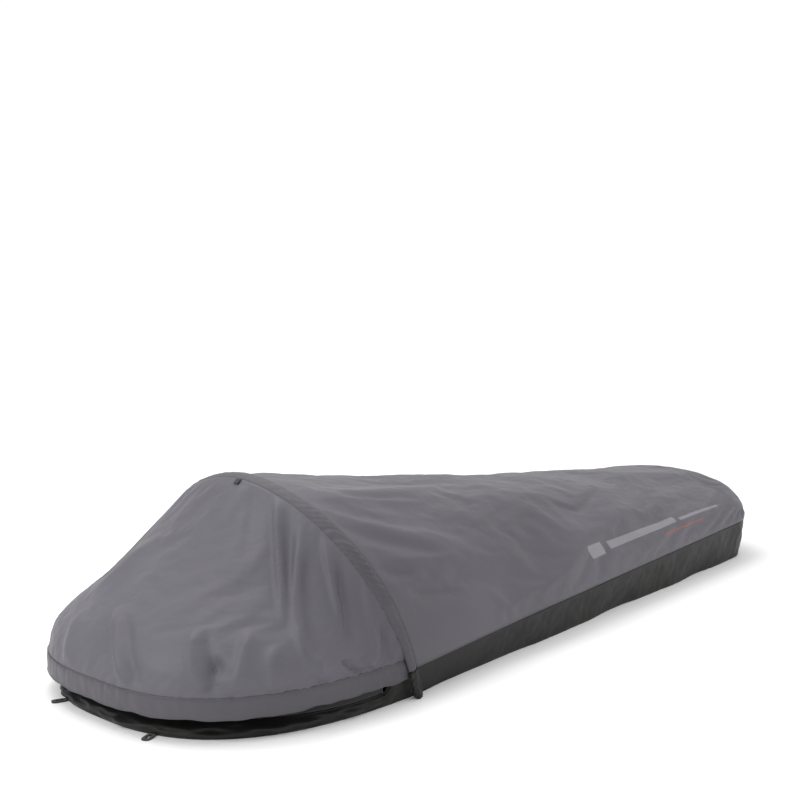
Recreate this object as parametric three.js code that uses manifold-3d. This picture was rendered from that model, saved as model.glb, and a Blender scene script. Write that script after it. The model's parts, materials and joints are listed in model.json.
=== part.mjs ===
// Hooped bivy sack: a waterproof one-person shelter. A black tub holds a grey canopy, one arched pole
// holds the hood up over the head, and a zip round the head lets hood and pole fold back together.
//
// Millimetres, +Z up, +X from head to foot. The design frame has x = 0 on the line between the two
// pole feet and z = 0 on the ground. The last lines move the origin under the middle of the whole sack.
// Right is -Y and left is +Y, as for someone lying inside on their back.

import * as THREE from 'three';
import * as BufferGeometryUtils from 'three/addons/utils/BufferGeometryUtils.js';
import Module from 'manifold-3d';

const wasm = await Module();
wasm.setup();

// ---- driving dimensions ----

// sack
const tubHalfAtHoop = 394;
const tubHalfAtFoot = 299;
const bodyLength = 1760;
const ridgeAtHoop = 442;
const ridgeAtFoot = 262;
const ridgeSag = 15;
const wallAtHoop = 68;
const wallAtFoot = 122;
const footRounding = 200;
const footRoundness = 2.3;
const footLift = 30;
const footTuck = 20;
const wallTuck = 9;
const hoopLean = THREE.MathUtils.degToRad(17.3);
const shoulderAtHoop = { across: 1.84, up: 2.05 };
const shoulderAtFoot = { across: 2.26, up: 2.26 };

// head
const hemReach = 532;
const hemRoundness = 2.86;
const hemHeight = 90;
const hemOverhang = 22;
const floorRoundness = 2.7;
const hoodBulge = 30;
const hoodKnee = 2.7;
const hoodFullSpan = 260;
const hoodArchStart = 0.07;
const hoodCornerDrop = 4;
const flapDrop = 42;
const flapStandOff = 1.3;
const flapFlare = 3;
const flapBehindSleeve = 58;

// cloth
const fabric = 1.2;
const floorFabric = 1.6;
const seamGap = 0.5;
const lapGap = 0.6;
const floorGap = 2.4;
const wallLift = 0.4;

// zip
const zipSideInset = 14;
const zipFrontInset = 11;
const zipHeight = 52.5;
const zipHalfAngle = THREE.MathUtils.degToRad(95);
const zipRunOut = THREE.MathUtils.degToRad(5);
const tapeThickness = 1;
const lowerTapeWidth = 18;
const upperTapeWidth = 13;
const coilHeight = 3;
const coilDepth = 2.6;
const coilSpacing = 2.4;
const butt = 0.3;

// sliders and pulls
const sliderLength = 13;
const sliderHeight = 14;
const sliderPlate = 1.3;
const sliderPlay = 0.9;
const sliderApart = 20;
const sliderRest = THREE.MathUtils.degToRad(44);
const postPlay = 0.8;
const postLength = 5.2;
const bailReach = 4.5;
const bailBar = 1.6;
const pullLength = 22;
const pullWidth = 5;
const pullThickness = 2.2;
const pullTaper = 0.8;

// pole
const poleDiameter = 8.5;
const poleWall = 0.6;
const poleSections = 4;
const ferrulePlay = 0.55;
const ferruleWall = 1.1;
const ferruleLength = 80;
const tipLength = 16;
const tipStem = 12;
const cordDiameter = 2.4;
const footAxisHeight = 12;
const sleeveWidth = 36;
const sleeveRoom = 0.95;
const sleeveWall = 0.8;
const sleeveGap = 1.2;
const pocketHalfWidth = 11.3;
const pocketTopHalfWidth = 16;
const pocketFloor = 2;
const pocketThickening = 0.2;
const sleeveUnderPocket = 2;

// small webbing
const loopWidth = 20;
const loopLength = 34;
const loopStrap = 5;
const loopThickness = 1.6;
const tabWidth = 14;
const tabLength = 24;
const tabAhead = 8;
const tabRise = 14;

// ---- worked out from the above ----

const skinHalfAtHoop = tubHalfAtHoop + lapGap + fabric / 2;
const skinHalfAtFoot = tubHalfAtFoot + lapGap + fabric / 2;
const floorReach = hemReach - hemOverhang;
const zipRadius = tubHalfAtHoop - zipSideInset;
const zipReach = floorReach - zipFrontInset;
const zipCentreX = zipRadius - zipReach;
const lowerCoilTop = zipHeight - coilSpacing / 2;
const lowerTapeLow = lowerCoilTop - coilHeight - butt - lowerTapeWidth;
const upperCoilLow = zipHeight + coilSpacing / 2;
const upperTapeLow = upperCoilLow + coilHeight + butt;
const upperTapeTop = upperTapeLow + upperTapeWidth;
const straightLength = bodyLength - footRounding;
const seamRise = Math.cos(hoopLean);
const wallAtHoopInPlane = wallAtHoop / seamRise;
const archTop = ridgeAtHoop / seamRise;
const sleeveThickness = poleDiameter + 2 * (sleeveRoom + sleeveWall);
const poleOffset = fabric / 2 + sleeveGap + sleeveThickness / 2;
const poleHalf = skinHalfAtHoop + poleOffset;
const sleeveStart = wallAtHoopInPlane - sleeveUnderPocket;
const ferruleDiameter = poleDiameter - 2 * (poleWall + ferrulePlay);
const ferruleBore = ferruleDiameter - 2 * ferruleWall;
const postHeight = coilSpacing - postPlay;

// ---- materials ----

function cloth(color, roughness) {
  return new THREE.MeshStandardMaterial({ color, roughness, metalness: 0, side: THREE.FrontSide });
}

const greyNylon = () => cloth(0x6f6d72, 0.55);
const blackNylon = () => cloth(0x2b2c2b, 0.6);
const webbing = () => cloth(0x1c1d1e, 0.8);
const zipCloth = () => cloth(0x1a1a1b, 0.75);
const zipCoil = () => new THREE.MeshStandardMaterial({ color: 0x151516, roughness: 0.45, metalness: 0 });
const zipMetal = () => new THREE.MeshStandardMaterial({ color: 0x2e2f31, roughness: 0.4, metalness: 0.8 });
const aluminium = () => new THREE.MeshStandardMaterial({ color: 0x8e9094, roughness: 0.35, metalness: 0.9 });
const plastic = () => new THREE.MeshStandardMaterial({ color: 0x18181a, roughness: 0.5, metalness: 0 });
const elastic = () => cloth(0xcfcfca, 0.85);

// ---- tools ----

const { lerp, smoothstep, clamp, degToRad } = THREE.MathUtils;
const signedPower = (value, power) => Math.sign(value) * Math.abs(value) ** power;

function named(name, geometry, material) {
  const mesh = new THREE.Mesh(geometry, material);
  mesh.name = name;
  return mesh;
}

function welded(geometry) {
  const bare = geometry.clone();
  bare.deleteAttribute('normal');
  bare.deleteAttribute('uv');
  return BufferGeometryUtils.mergeVertices(bare, 1e-4);
}

function solid(geometry) {
  const merged = welded(geometry);
  return new wasm.Manifold(new wasm.Mesh({
    numProp: 3,
    vertProperties: new Float32Array(merged.attributes.position.array),
    triVerts: new Uint32Array(merged.index.array),
  }));
}

function fromSolid(body) {
  const mesh = body.getMesh();
  const geometry = new THREE.BufferGeometry();
  geometry.setAttribute('position', new THREE.BufferAttribute(new Float32Array(mesh.vertProperties), 3));
  geometry.setIndex(new THREE.BufferAttribute(new Uint32Array(mesh.triVerts), 1));
  geometry.computeVertexNormals();
  return geometry;
}

// A sheet of cloth as a closed solid: surface(u, v) gives the middle of the cloth for u and v from 0 to 1.
function sheet(surface, columns, rows, thickness = fabric) {
  const middle = new THREE.PlaneGeometry(1, 1, columns, rows);
  const place = middle.attributes.position;
  for (let i = 0; i < place.count; i += 1) {
    const point = surface(place.getX(i) + 0.5, place.getY(i) + 0.5);
    place.setXYZ(i, point.x, point.y, point.z);
  }
  middle.computeVertexNormals();
  const normal = middle.attributes.normal;
  const slab = new THREE.BoxGeometry(1, 1, 1, columns, rows, 1);
  const corner = slab.attributes.position;
  const point = new THREE.Vector3();
  const out = new THREE.Vector3();
  for (let i = 0; i < corner.count; i += 1) {
    const column = Math.round((corner.getX(i) + 0.5) * columns);
    const row = Math.round((0.5 - corner.getY(i)) * rows);
    const index = row * (columns + 1) + column;
    point.fromBufferAttribute(place, index);
    out.fromBufferAttribute(normal, index);
    point.addScaledVector(out, corner.getZ(i) * thickness);
    corner.setXYZ(i, point.x, point.y, point.z);
  }
  const closed = welded(slab);
  closed.computeVertexNormals();
  return closed;
}

// A length of another curve, measured along it in millimetres.
class Stretch extends THREE.Curve {
  constructor(whole, start, end) {
    super();
    this.whole = whole;
    this.start = start / whole.getLength();
    this.end = end / whole.getLength();
  }

  getPoint(t, target = new THREE.Vector3()) {
    return target.copy(this.whole.getPointAt(clamp(lerp(this.start, this.end, t), 0, 1)));
  }
}

function ringShape(outer, inner) {
  const shape = new THREE.Shape();
  shape.absarc(0, 0, outer, 0, Math.PI * 2);
  if (inner > 0) {
    const hole = new THREE.Path();
    hole.absarc(0, 0, inner, 0, Math.PI * 2, true);
    shape.holes.push(hole);
  }
  return shape;
}

function swept(shape, path, steps, sides) {
  return new THREE.ExtrudeGeometry(shape, { extrudePath: path, steps, curveSegments: sides / 2 });
}

// An upright band round the zip's centre, from one angle to another, angle 0 at the front of the head.
function zipBand(inner, outer, low, high, from, to, segments) {
  const shape = new THREE.Shape();
  const start = Math.PI + from;
  const end = Math.PI + to;
  shape.absarc(0, 0, outer, start, end, false);
  shape.absarc(0, 0, inner, end, start, true);
  const band = new THREE.ExtrudeGeometry(shape, {
    depth: high - low, bevelEnabled: false, curveSegments: segments / 2,
  });
  band.translate(zipCentreX, 0, low);
  return band;
}

// ---- outlines in plan ----

const outlineHalvings = 40;

function headOutline(angle, reach, half, roundness) {
  const point = new THREE.Vector2();
  let near = 0;
  let far = reach + half;
  for (let i = 0; i < outlineHalvings; i += 1) {
    const radius = (near + far) / 2;
    point.set(zipCentreX - radius * Math.cos(angle), -radius * Math.sin(angle));
    const along = Math.max(0, -point.x) / reach;
    const across = Math.abs(point.y) / half;
    const outside = along ** roundness + across ** roundness > 1;
    if (outside) {
      far = radius;
    } else {
      near = radius;
    }
  }
  return point;
}

// Angle round the zip's centre at which an outline crosses a given x near the hoop.
function angleAt(x, half) {
  return Math.PI / 2 + Math.atan2(x - zipCentreX, half);
}

// Maps a square onto the half disc that the foot's plan is: full width at along = 0, the curve at along = 1.
function footDisc(across, along) {
  const p = across * Math.sqrt(1 - along * along / 2);
  const e = along * Math.sqrt(1 - across * across / 2);
  return { p, e, radius: Math.min(1, Math.hypot(p, e)) };
}

function roundPlan(disc, fullness, roundness) {
  if (disc.radius < 1e-9) {
    return { p: 0, e: 0 };
  }
  const p = disc.p / disc.radius;
  const e = disc.e / disc.radius;
  const edge = (Math.abs(p) ** roundness + Math.abs(e) ** roundness) ** (-1 / roundness);
  const radius = disc.radius ** fullness * edge;
  return { p: p * radius, e: e * radius };
}

const wallHeight = (x) => lerp(wallAtHoop, wallAtFoot, Math.max(0, x) / bodyLength);
const halfWidth = (x, atHoop, atFoot) => lerp(atHoop, atFoot, clamp(x / straightLength, 0, 1));

function ridge(x) {
  const k = clamp(x / straightLength, 0, 1);
  return lerp(ridgeAtHoop, ridgeAtFoot, k) - ridgeSag * 4 * k * (1 - k);
}

// ---- canopy: the grey top from the hoop to the foot ----

const canopyColumns = 24;
const canopyRows = 18;
const canopyFootRows = 5;
const hoopSeamGap = 2;

function canopySurface(u, v) {
  const split = 1 - canopyFootRows / canopyRows;
  const turn = (u - 0.5) * Math.PI;
  const inFoot = v > split + 1e-6;
  const along = inFoot ? Math.sin((v - split) / (1 - split) * Math.PI / 2) : 0;
  const k = Math.min(1, v / split);
  const across = lerp(shoulderAtHoop.across, shoulderAtFoot.across, k);
  const up = lerp(shoulderAtHoop.up, shoulderAtFoot.up, k);
  const disc = footDisc(Math.sin(turn), along);
  const plan = inFoot
    ? roundPlan(disc, 2 / across, footRoundness)
    : { p: signedPower(Math.sin(turn), 2 / across), e: 0 };
  const x = inFoot ? straightLength + footRounding * plan.e : straightLength * k;
  const height = inFoot
    ? Math.max(0, 1 - disc.radius ** 2) ** (1 / up)
    : Math.abs(Math.cos(turn)) ** (2 / up);
  const low = wallHeight(x) + seamGap;
  const z = low + (ridge(x) - low) * height;
  const lean = Math.tan(hoopLean) * z * (1 - k) ** 2;
  const hoopGap = hoopSeamGap * (1 - k);
  return new THREE.Vector3(x - lean + hoopGap, halfWidth(x, skinHalfAtHoop, skinHalfAtFoot) * plan.p, z);
}

function canopy() {
  return named('canopy', sheet(canopySurface, canopyColumns, canopyRows), greyNylon());
}

// ---- tub: floor, side walls, foot wall, head wall ----

// The tub's edge round the foot, on the ground and at the seam. share runs from 0 at the right hoop foot
// through the foot end to 1 at the left hoop foot.
const sideShare = 0.34;
const footCorner = 0.42;
const cornerGap = 0.001;
const wallColumns = 14;

function tubEdge(share, level) {
  const side = share < 0.5 ? -1 : 1;
  const inward = side < 0 ? share : 1 - share;
  let x;
  let p;
  let e = 0;
  if (inward < sideShare) {
    x = straightLength * inward / sideShare;
    p = 1;
  } else {
    const turn = (inward - sideShare) / (0.5 - sideShare) * Math.PI / 2;
    p = signedPower(Math.cos(turn), 2 / footRoundness);
    e = signedPower(Math.sin(turn), 2 / footRoundness);
    x = straightLength + footRounding * e;
  }
  const tuck = wallTuck * (1 - level) + fabric / 2;
  const y = side * (halfWidth(x, tubHalfAtHoop, tubHalfAtFoot) - tuck) * p;
  const ground = wallLift + footLift * e * e;
  const top = wallHeight(x) - seamGap;
  return new THREE.Vector3(x - (footTuck * (1 - level) + fabric / 2) * e, y, lerp(ground, top, level));
}

function sideWall(name, side) {
  const strip = (u, v) => {
    const share = lerp(2 * cornerGap, footCorner - cornerGap, side < 0 ? u : 1 - u);
    return tubEdge(side < 0 ? share : 1 - share, v);
  };
  return named(name, sheet(strip, wallColumns, 2), blackNylon());
}

function footWall() {
  const start = footCorner + cornerGap;
  const strip = (u, v) => tubEdge(lerp(start, 1 - start, u), v);
  return named('foot_wall', sheet(strip, wallColumns, 2), blackNylon());
}

const hoopCornerAngle = angleAt(0, tubHalfAtHoop);
const cornerClear = 1;
const headWallColumns = 36;
const wallCurl = 0.6;

function headWallPoint(angle, level) {
  const beyond = smoothstep(Math.abs(angle), zipHalfAngle + zipRunOut, hoopCornerAngle);
  const half = tubHalfAtHoop - fabric / 2;
  const foot = headOutline(angle, floorReach, half - wallTuck, floorRoundness);
  const top = new THREE.Vector3(
    zipCentreX - zipRadius * Math.cos(angle),
    -zipRadius * Math.sin(angle),
    lowerTapeLow - lapGap - fabric,
  );
  top.lerp(new THREE.Vector3(foot.x, Math.sign(foot.y) * half, wallAtHoop - seamGap), beyond);
  const curl = level ** wallCurl;
  return new THREE.Vector3(
    lerp(foot.x, top.x, level),
    lerp(foot.y, top.y, level),
    lerp(wallLift, top.z, curl),
  );
}

function headWall() {
  const end = angleAt(-cornerClear, tubHalfAtHoop);
  const strip = (u, v) => headWallPoint(lerp(end, -end, u), v);
  return named('head_wall', sheet(strip, headWallColumns, 3), blackNylon());
}

const headPart = 0.3;
const footPart = 0.8;
const floorColumns = 12;
const floorRows = 20;

function floorPanel() {
  const inset = fabric + floorGap;
  const half = tubHalfAtHoop - wallTuck - inset;
  const reach = floorReach - inset;
  const surface = (u, v) => {
    const across = Math.sin((u - 0.5) * Math.PI);
    if (v < headPart) {
      const disc = footDisc(across, Math.sin((1 - v / headPart) * Math.PI / 2));
      const plan = roundPlan(disc, 1, floorRoundness);
      return new THREE.Vector3(-reach * plan.e, half * plan.p, floorFabric / 2);
    }
    if (v < footPart) {
      const x = straightLength * (v - headPart) / (footPart - headPart);
      const y = (halfWidth(x, tubHalfAtHoop, tubHalfAtFoot) - wallTuck - inset) * across;
      return new THREE.Vector3(x, y, floorFabric / 2);
    }
    const disc = footDisc(across, Math.sin((v - footPart) / (1 - footPart) * Math.PI / 2));
    const plan = roundPlan(disc, 1, footRoundness);
    const x = straightLength + (footRounding - footTuck - inset) * plan.e;
    const y = (tubHalfAtFoot - wallTuck - inset) * plan.p;
    return new THREE.Vector3(x, y, floorFabric / 2 + footLift * plan.e * plan.e);
  };
  return named('floor_panel', sheet(surface, floorColumns, floorRows, floorFabric), blackNylon());
}

// ---- webbing loops for the pegs ----

const headLoopAngle = degToRad(22);

function loopShape() {
  const shape = new THREE.Shape();
  const half = loopWidth / 2;
  shape.moveTo(0, -half);
  shape.lineTo(loopLength - half, -half);
  shape.absarc(loopLength - half, 0, half, -Math.PI / 2, Math.PI / 2, false);
  shape.lineTo(0, half);
  shape.closePath();
  const hole = new THREE.Path();
  const inner = half - loopStrap;
  hole.moveTo(loopStrap, inner);
  hole.lineTo(loopLength - half, inner);
  hole.absarc(loopLength - half, 0, inner, Math.PI / 2, -Math.PI / 2, true);
  hole.lineTo(loopStrap, -inner);
  hole.closePath();
  shape.holes.push(hole);
  return shape;
}

function pegLoop(name, x, y, direction) {
  const body = new THREE.ExtrudeGeometry(loopShape(), {
    depth: loopThickness, bevelEnabled: false, curveSegments: 5,
  });
  const loop = named(name, body, webbing());
  loop.position.set(x, y, butt);
  loop.rotation.z = direction;
  return loop;
}

function pegLoops() {
  const loops = new THREE.Group();
  for (const [word, side] of [['right', -1], ['left', 1]]) {
    const corner = headOutline(-side * headLoopAngle, floorReach, tubHalfAtHoop - wallTuck, floorRoundness);
    const outward = Math.atan2(corner.y, corner.x - zipCentreX);
    const clear = fabric + lapGap;
    const x = corner.x + clear * Math.cos(outward);
    const y = corner.y + clear * Math.sin(outward);
    loops.add(pegLoop(`peg_loop_${word}`, x, y, outward));
  }
  return loops;
}

// ---- zip ----

function zipChain(prefix, coilLow, tapeLow, tapeWidth) {
  const chain = new THREE.Group();
  const coil = [zipRadius - coilDepth / 2, zipRadius + coilDepth / 2];
  const tape = [zipRadius - tapeThickness / 2, zipRadius + tapeThickness / 2];
  const coilSolid = zipBand(coil[0], coil[1], coilLow, coilLow + coilHeight, -zipHalfAngle, zipHalfAngle, 32);
  const tapeSolid = zipBand(tape[0], tape[1], tapeLow, tapeLow + tapeWidth, -zipHalfAngle, zipHalfAngle, 32);
  chain.add(named(`${prefix}_zip_coil`, coilSolid, zipCoil()));
  chain.add(named(`${prefix}_zip_tape`, tapeSolid, zipCloth()));
  return chain;
}

function zipStop(name, side) {
  const wide = degToRad(0.9);
  const gap = degToRad(0.15);
  const from = side > 0 ? -zipHalfAngle - gap - wide : zipHalfAngle + gap;
  const low = lowerCoilTop - coilHeight;
  const stop = zipBand(zipRadius - coilDepth, zipRadius + coilDepth, low, lowerCoilTop, from, from + wide, 2);
  return named(name, stop, zipMetal());
}

function block(length, depth, height, x, y, z) {
  return solid(new THREE.BoxGeometry(length, depth, height).translate(x, y, z));
}

// A slider in its own frame: X away from the zip's centre, Y along the zip, Z up, origin on the chain.
function sliderSolid() {
  const gap = coilDepth / 2 + sliderPlay;
  const outer = gap + sliderPlate;
  const bailX = outer + bailReach;
  const middle = gap + sliderPlate / 2;
  const frontPlate = block(sliderPlate, sliderLength, sliderHeight, middle, 0, 0);
  const backPlate = block(sliderPlate, sliderLength, sliderHeight, -middle, 0, 0);
  const post = block(outer * 2 - sliderPlate, postLength, postHeight, 0, 0, 0);
  const armX = (outer + bailX) / 2;
  const arm = bailX - outer + bailBar;
  const reach = sliderLength / 2 - bailBar / 2;
  const armA = block(arm, bailBar, bailBar, armX, reach, 0);
  const armB = block(arm, bailBar, bailBar, armX, -reach, 0);
  const bar = block(bailBar, sliderLength, bailBar, bailX, 0, 0);
  return fromSolid(frontPlate.add(backPlate).add(post).add(armA).add(armB).add(bar));
}

// A moulded pull that hangs on the slider's bar, in the slider's frame.
function pullSolid() {
  const eye = pullWidth / 2;
  const tip = eye * pullTaper;
  const drop = pullLength - eye;
  const shape = new THREE.Shape();
  shape.absarc(0, 0, eye, 0, Math.PI, false);
  shape.lineTo(-tip, -drop + tip);
  shape.absarc(0, -drop + tip, tip, Math.PI, Math.PI * 2, false);
  shape.closePath();
  const hole = new THREE.Path();
  hole.absarc(0, 0, bailBar * Math.SQRT1_2 + butt, 0, Math.PI * 2, true);
  shape.holes.push(hole);
  const body = new THREE.ExtrudeGeometry(shape, {
    depth: pullThickness, bevelEnabled: false, curveSegments: 6,
  });
  body.translate(0, 0, -pullThickness / 2);
  body.rotateX(Math.PI / 2);
  const bailX = coilDepth / 2 + sliderPlay + sliderPlate + bailReach;
  body.translate(bailX, 0, 0);
  return body;
}

function sliderAndPull(word, side) {
  const place = new THREE.Group();
  const apart = sliderApart / 2 / zipRadius;
  const angle = sliderRest - side * apart;
  place.position.set(zipCentreX - zipRadius * Math.cos(angle), -zipRadius * Math.sin(angle), zipHeight);
  place.rotation.z = Math.PI + angle;
  place.add(named(`slider_${word}`, sliderSolid(), zipMetal()));
  place.add(named(`pull_${word}`, pullSolid(), plastic()));
  return place;
}

// ---- hood: the grey panel from the hoop down to the zip, and the flap over the zip ----

const hoodCornerAngle = angleAt(-Math.tan(hoopLean) * hemHeight - hoopSeamGap - cornerClear, skinHalfAtHoop);

function hoopPoint(turn, gap) {
  const y = -skinHalfAtHoop * signedPower(Math.cos(turn), 2 / shoulderAtHoop.across);
  const rise = archTop - wallAtHoopInPlane;
  const w = wallAtHoopInPlane + rise * Math.abs(Math.sin(turn)) ** (2 / shoulderAtHoop.up);
  return new THREE.Vector3(-w * Math.sin(hoopLean) - gap, y, w * Math.cos(hoopLean));
}

function hemPoint(angle) {
  const plan = headOutline(angle, hemReach - fabric / 2, skinHalfAtHoop, hemRoundness);
  return new THREE.Vector3(plan.x, plan.y, hemHeight);
}

const hoodColumns = 36;
const hoodRows = 12;
const hoodSkirtRows = 2;
const flapColumns = 32;

function hoodSurface(u, v) {
  const skirt = 1 - hoodSkirtRows / hoodRows;
  const angle = lerp(hoodCornerAngle, -hoodCornerAngle, u);
  const turn = lerp(hoodArchStart, Math.PI - hoodArchStart, u);
  const hem = hemPoint(angle);
  if (v <= skirt + 1e-6) {
    const k = v / skirt;
    const top = hoopPoint(turn, hoopSeamGap);
    const reach = Math.min(1, top.distanceTo(hem) / hoodFullSpan) ** 2;
    const swell = hoodBulge * reach * Math.sin(Math.PI * k ** hoodKnee);
    const out = new THREE.Vector3(-Math.abs(Math.sin(turn)), -0.6 * Math.cos(turn), 0.4);
    return top.lerp(hem, k).addScaledVector(out, swell);
  }
  const k = (v - skirt) / (1 - skirt);
  const beyond = smoothstep(Math.abs(angle), zipHalfAngle, hoodCornerAngle);
  const zipEdge = new THREE.Vector3(
    zipCentreX - zipRadius * Math.cos(angle),
    -zipRadius * Math.sin(angle),
    upperTapeTop + butt + fabric / 2,
  );
  const corner = hem.clone().add(new THREE.Vector3(0, 0, -hoodCornerDrop));
  return hem.lerp(zipEdge.lerp(corner, beyond), k);
}

function hoodPanel() {
  return named('hood_panel', sheet(hoodSurface, hoodColumns, hoodRows), greyNylon());
}

function stormFlap() {
  const end = angleAt(-flapBehindSleeve, skinHalfAtHoop);
  const strip = (u, v) => {
    const angle = lerp(end, -end, u);
    const level = 1 - v;
    const off = fabric + flapStandOff + flapFlare * level;
    const plan = headOutline(angle, hemReach - fabric / 2 + off, skinHalfAtHoop + off, hemRoundness);
    return new THREE.Vector3(plan.x, plan.y, hemHeight - flapDrop * level);
  };
  return named('storm_flap', sheet((u, v) => strip(u, 1 - v), flapColumns, 2), greyNylon());
}

// ---- hoop: pole, sleeve and pockets, in a frame whose Z lies up the leaning plane of the hoop ----

const sleeveSteps = 52;
const sectionSteps = 16;
const ferruleSteps = 4;
const cordSteps = 44;
const poleSides = 10;

class HoopArch extends THREE.Curve {
  getPoint(t, target = new THREE.Vector3()) {
    const turn = t * Math.PI;
    const top = archTop + poleOffset;
    const y = -poleHalf * signedPower(Math.cos(turn), 2 / shoulderAtHoop.across);
    const rise = Math.abs(Math.sin(turn)) ** (2 / shoulderAtHoop.up);
    return target.set(0, y, lerp(wallAtHoopInPlane, top, rise));
  }
}

function hoopLine(low) {
  const line = new THREE.CurvePath();
  const foot = (side, w) => new THREE.Vector3(0, side * poleHalf, w);
  line.add(new THREE.LineCurve3(foot(-1, low), foot(-1, wallAtHoopInPlane)));
  line.add(new HoopArch());
  line.add(new THREE.LineCurve3(foot(1, wallAtHoopInPlane), foot(1, low)));
  return line;
}

function stadium(width, thickness) {
  const path = new THREE.Shape();
  const radius = thickness / 2;
  const flat = width / 2 - radius;
  path.absarc(0, -flat, radius, Math.PI, Math.PI * 2, false);
  path.absarc(0, flat, radius, 0, Math.PI, false);
  path.closePath();
  return path;
}

function poleSleeve() {
  const line = hoopLine(footAxisHeight);
  const shape = stadium(sleeveWidth, sleeveThickness);
  shape.holes.push(stadium(sleeveWidth - sleeveWall * 2, sleeveThickness - sleeveWall * 2));
  const bare = sleeveStart - footAxisHeight;
  const path = new Stretch(line, bare, line.getLength() - bare);
  return named('pole_sleeve', swept(shape, path, sleeveSteps, 4), greyNylon());
}

function poleAndCord() {
  const pole = new THREE.Group();
  const poleLow = pocketFloor + fabric + tipLength;
  const line = hoopLine(poleLow);
  const length = line.getLength();
  const section = length / poleSections;
  const outer = poleDiameter / 2;
  const tube = ringShape(outer, outer - poleWall);
  for (let i = 0; i < poleSections; i += 1) {
    const path = new Stretch(line, i * section + butt, (i + 1) * section - butt);
    pole.add(named(`pole_section_${i + 1}`, swept(tube, path, sectionSteps, poleSides), aluminium()));
  }
  const ferrule = ringShape(ferruleDiameter / 2, ferruleBore / 2);
  for (let i = 1; i < poleSections; i += 1) {
    const path = new Stretch(line, i * section - ferruleLength / 2, i * section + ferruleLength / 2);
    pole.add(named(`pole_ferrule_${i}`, swept(ferrule, path, ferruleSteps, poleSides), aluminium()));
  }
  const cordStart = tipStem + 3;
  const cord = new Stretch(line, cordStart, length - cordStart);
  pole.add(named('shock_cord', swept(ringShape(cordDiameter / 2, 0), cord, cordSteps, 8), elastic()));
  for (const [word, side] of [['right', -1], ['left', 1]]) {
    const stem = outer - poleWall - 0.4;
    const outline = [
      [0, -tipLength],
      [outer * 0.6, -tipLength],
      [outer, -tipLength + outer * 0.5],
      [outer, 0],
      [stem, 0],
      [stem, tipStem],
      [0, tipStem],
    ];
    const tip = new THREE.LatheGeometry(outline.map(([r, w]) => new THREE.Vector2(r, w)), 12);
    tip.rotateX(Math.PI / 2);
    tip.translate(0, side * poleHalf, poleLow);
    pole.add(named(`pole_tip_${word}`, tip, plastic()));
  }
  return pole;
}

// A pocket of tub fabric on each end of the sleeve. Its round bottom turns about the hoop's axis.
function polePocket(word, side) {
  const profile = (half, topHalf, low) => {
    const shape = new THREE.Shape();
    shape.absarc(0, footAxisHeight, half, Math.PI, Math.PI * 2, false);
    shape.lineTo(topHalf, low);
    shape.lineTo(-topHalf, low);
    shape.closePath();
    return shape;
  };
  const top = sleeveStart - butt;
  const slab = (shape, depth) => {
    const body = new THREE.ExtrudeGeometry(shape, { depth, bevelEnabled: false, curveSegments: 7 });
    body.translate(0, 0, -depth / 2);
    body.rotateX(Math.PI / 2);
    return solid(body);
  };
  const outer = slab(profile(pocketHalfWidth, pocketTopHalfWidth, top), sleeveThickness);
  const wall = sleeveWall + pocketThickening;
  const hollow = slab(
    profile(pocketHalfWidth - wall, pocketTopHalfWidth - wall, top + 10),
    sleeveThickness - wall * 2,
  );
  const pocket = named(`pole_pocket_${word}`, fromSolid(outer.subtract(hollow)), blackNylon());
  pocket.position.y = side * poleHalf;
  return pocket;
}

// A short webbing tab under the peak, on the head side of the sleeve.
function peakTab() {
  const strap = new THREE.BoxGeometry(loopThickness, tabWidth, tabLength);
  const tab = named('peak_tab', strap, webbing());
  tab.position.set(-sleeveWidth / 2 - tabAhead, 0, archTop - fabric + tabRise);
  return tab;
}

// ---- the whole sack ----

function bivySack() {
  const sack = new THREE.Group();
  const tub = new THREE.Group();
  tub.add(floorPanel());
  tub.add(headWall());
  tub.add(sideWall('side_wall_right', -1));
  tub.add(sideWall('side_wall_left', 1));
  tub.add(footWall());
  tub.add(canopy());
  tub.add(pegLoops());
  tub.add(zipChain('lower', lowerCoilTop - coilHeight, lowerTapeLow, lowerTapeWidth));
  tub.add(zipStop('zip_stop_right', -1));
  tub.add(zipStop('zip_stop_left', 1));
  sack.add(tub);

  const hood = new THREE.Group();
  hood.add(hoodPanel());
  hood.add(stormFlap());
  hood.add(zipChain('upper', upperCoilLow, upperTapeLow, upperTapeWidth));
  const hoop = new THREE.Group();
  hoop.rotation.y = -hoopLean;
  hoop.add(poleSleeve());
  hoop.add(poleAndCord());
  hoop.add(polePocket('right', -1));
  hoop.add(polePocket('left', 1));
  hoop.add(peakTab());
  hood.add(hoop);
  sack.add(hood);

  sack.add(sliderAndPull('right', -1));
  sack.add(sliderAndPull('left', 1));
  return sack;
}

const part = new THREE.Group();
const sack = bivySack();
part.add(sack);
part.updateMatrixWorld(true);
const whole = new THREE.Box3().setFromObject(sack, true);
const middle = whole.getCenter(new THREE.Vector3());
sack.position.set(-middle.x, -middle.y, -whole.min.z);
part.updateMatrixWorld(true);

export default part;
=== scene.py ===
# A hooped bivy sack: a black tub, a grey canopy, and a grey hood on one arched pole.
# Metres. +Z up, +X from head to foot, right is -Y, as for someone lying inside on their back.

import json
import math

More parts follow.
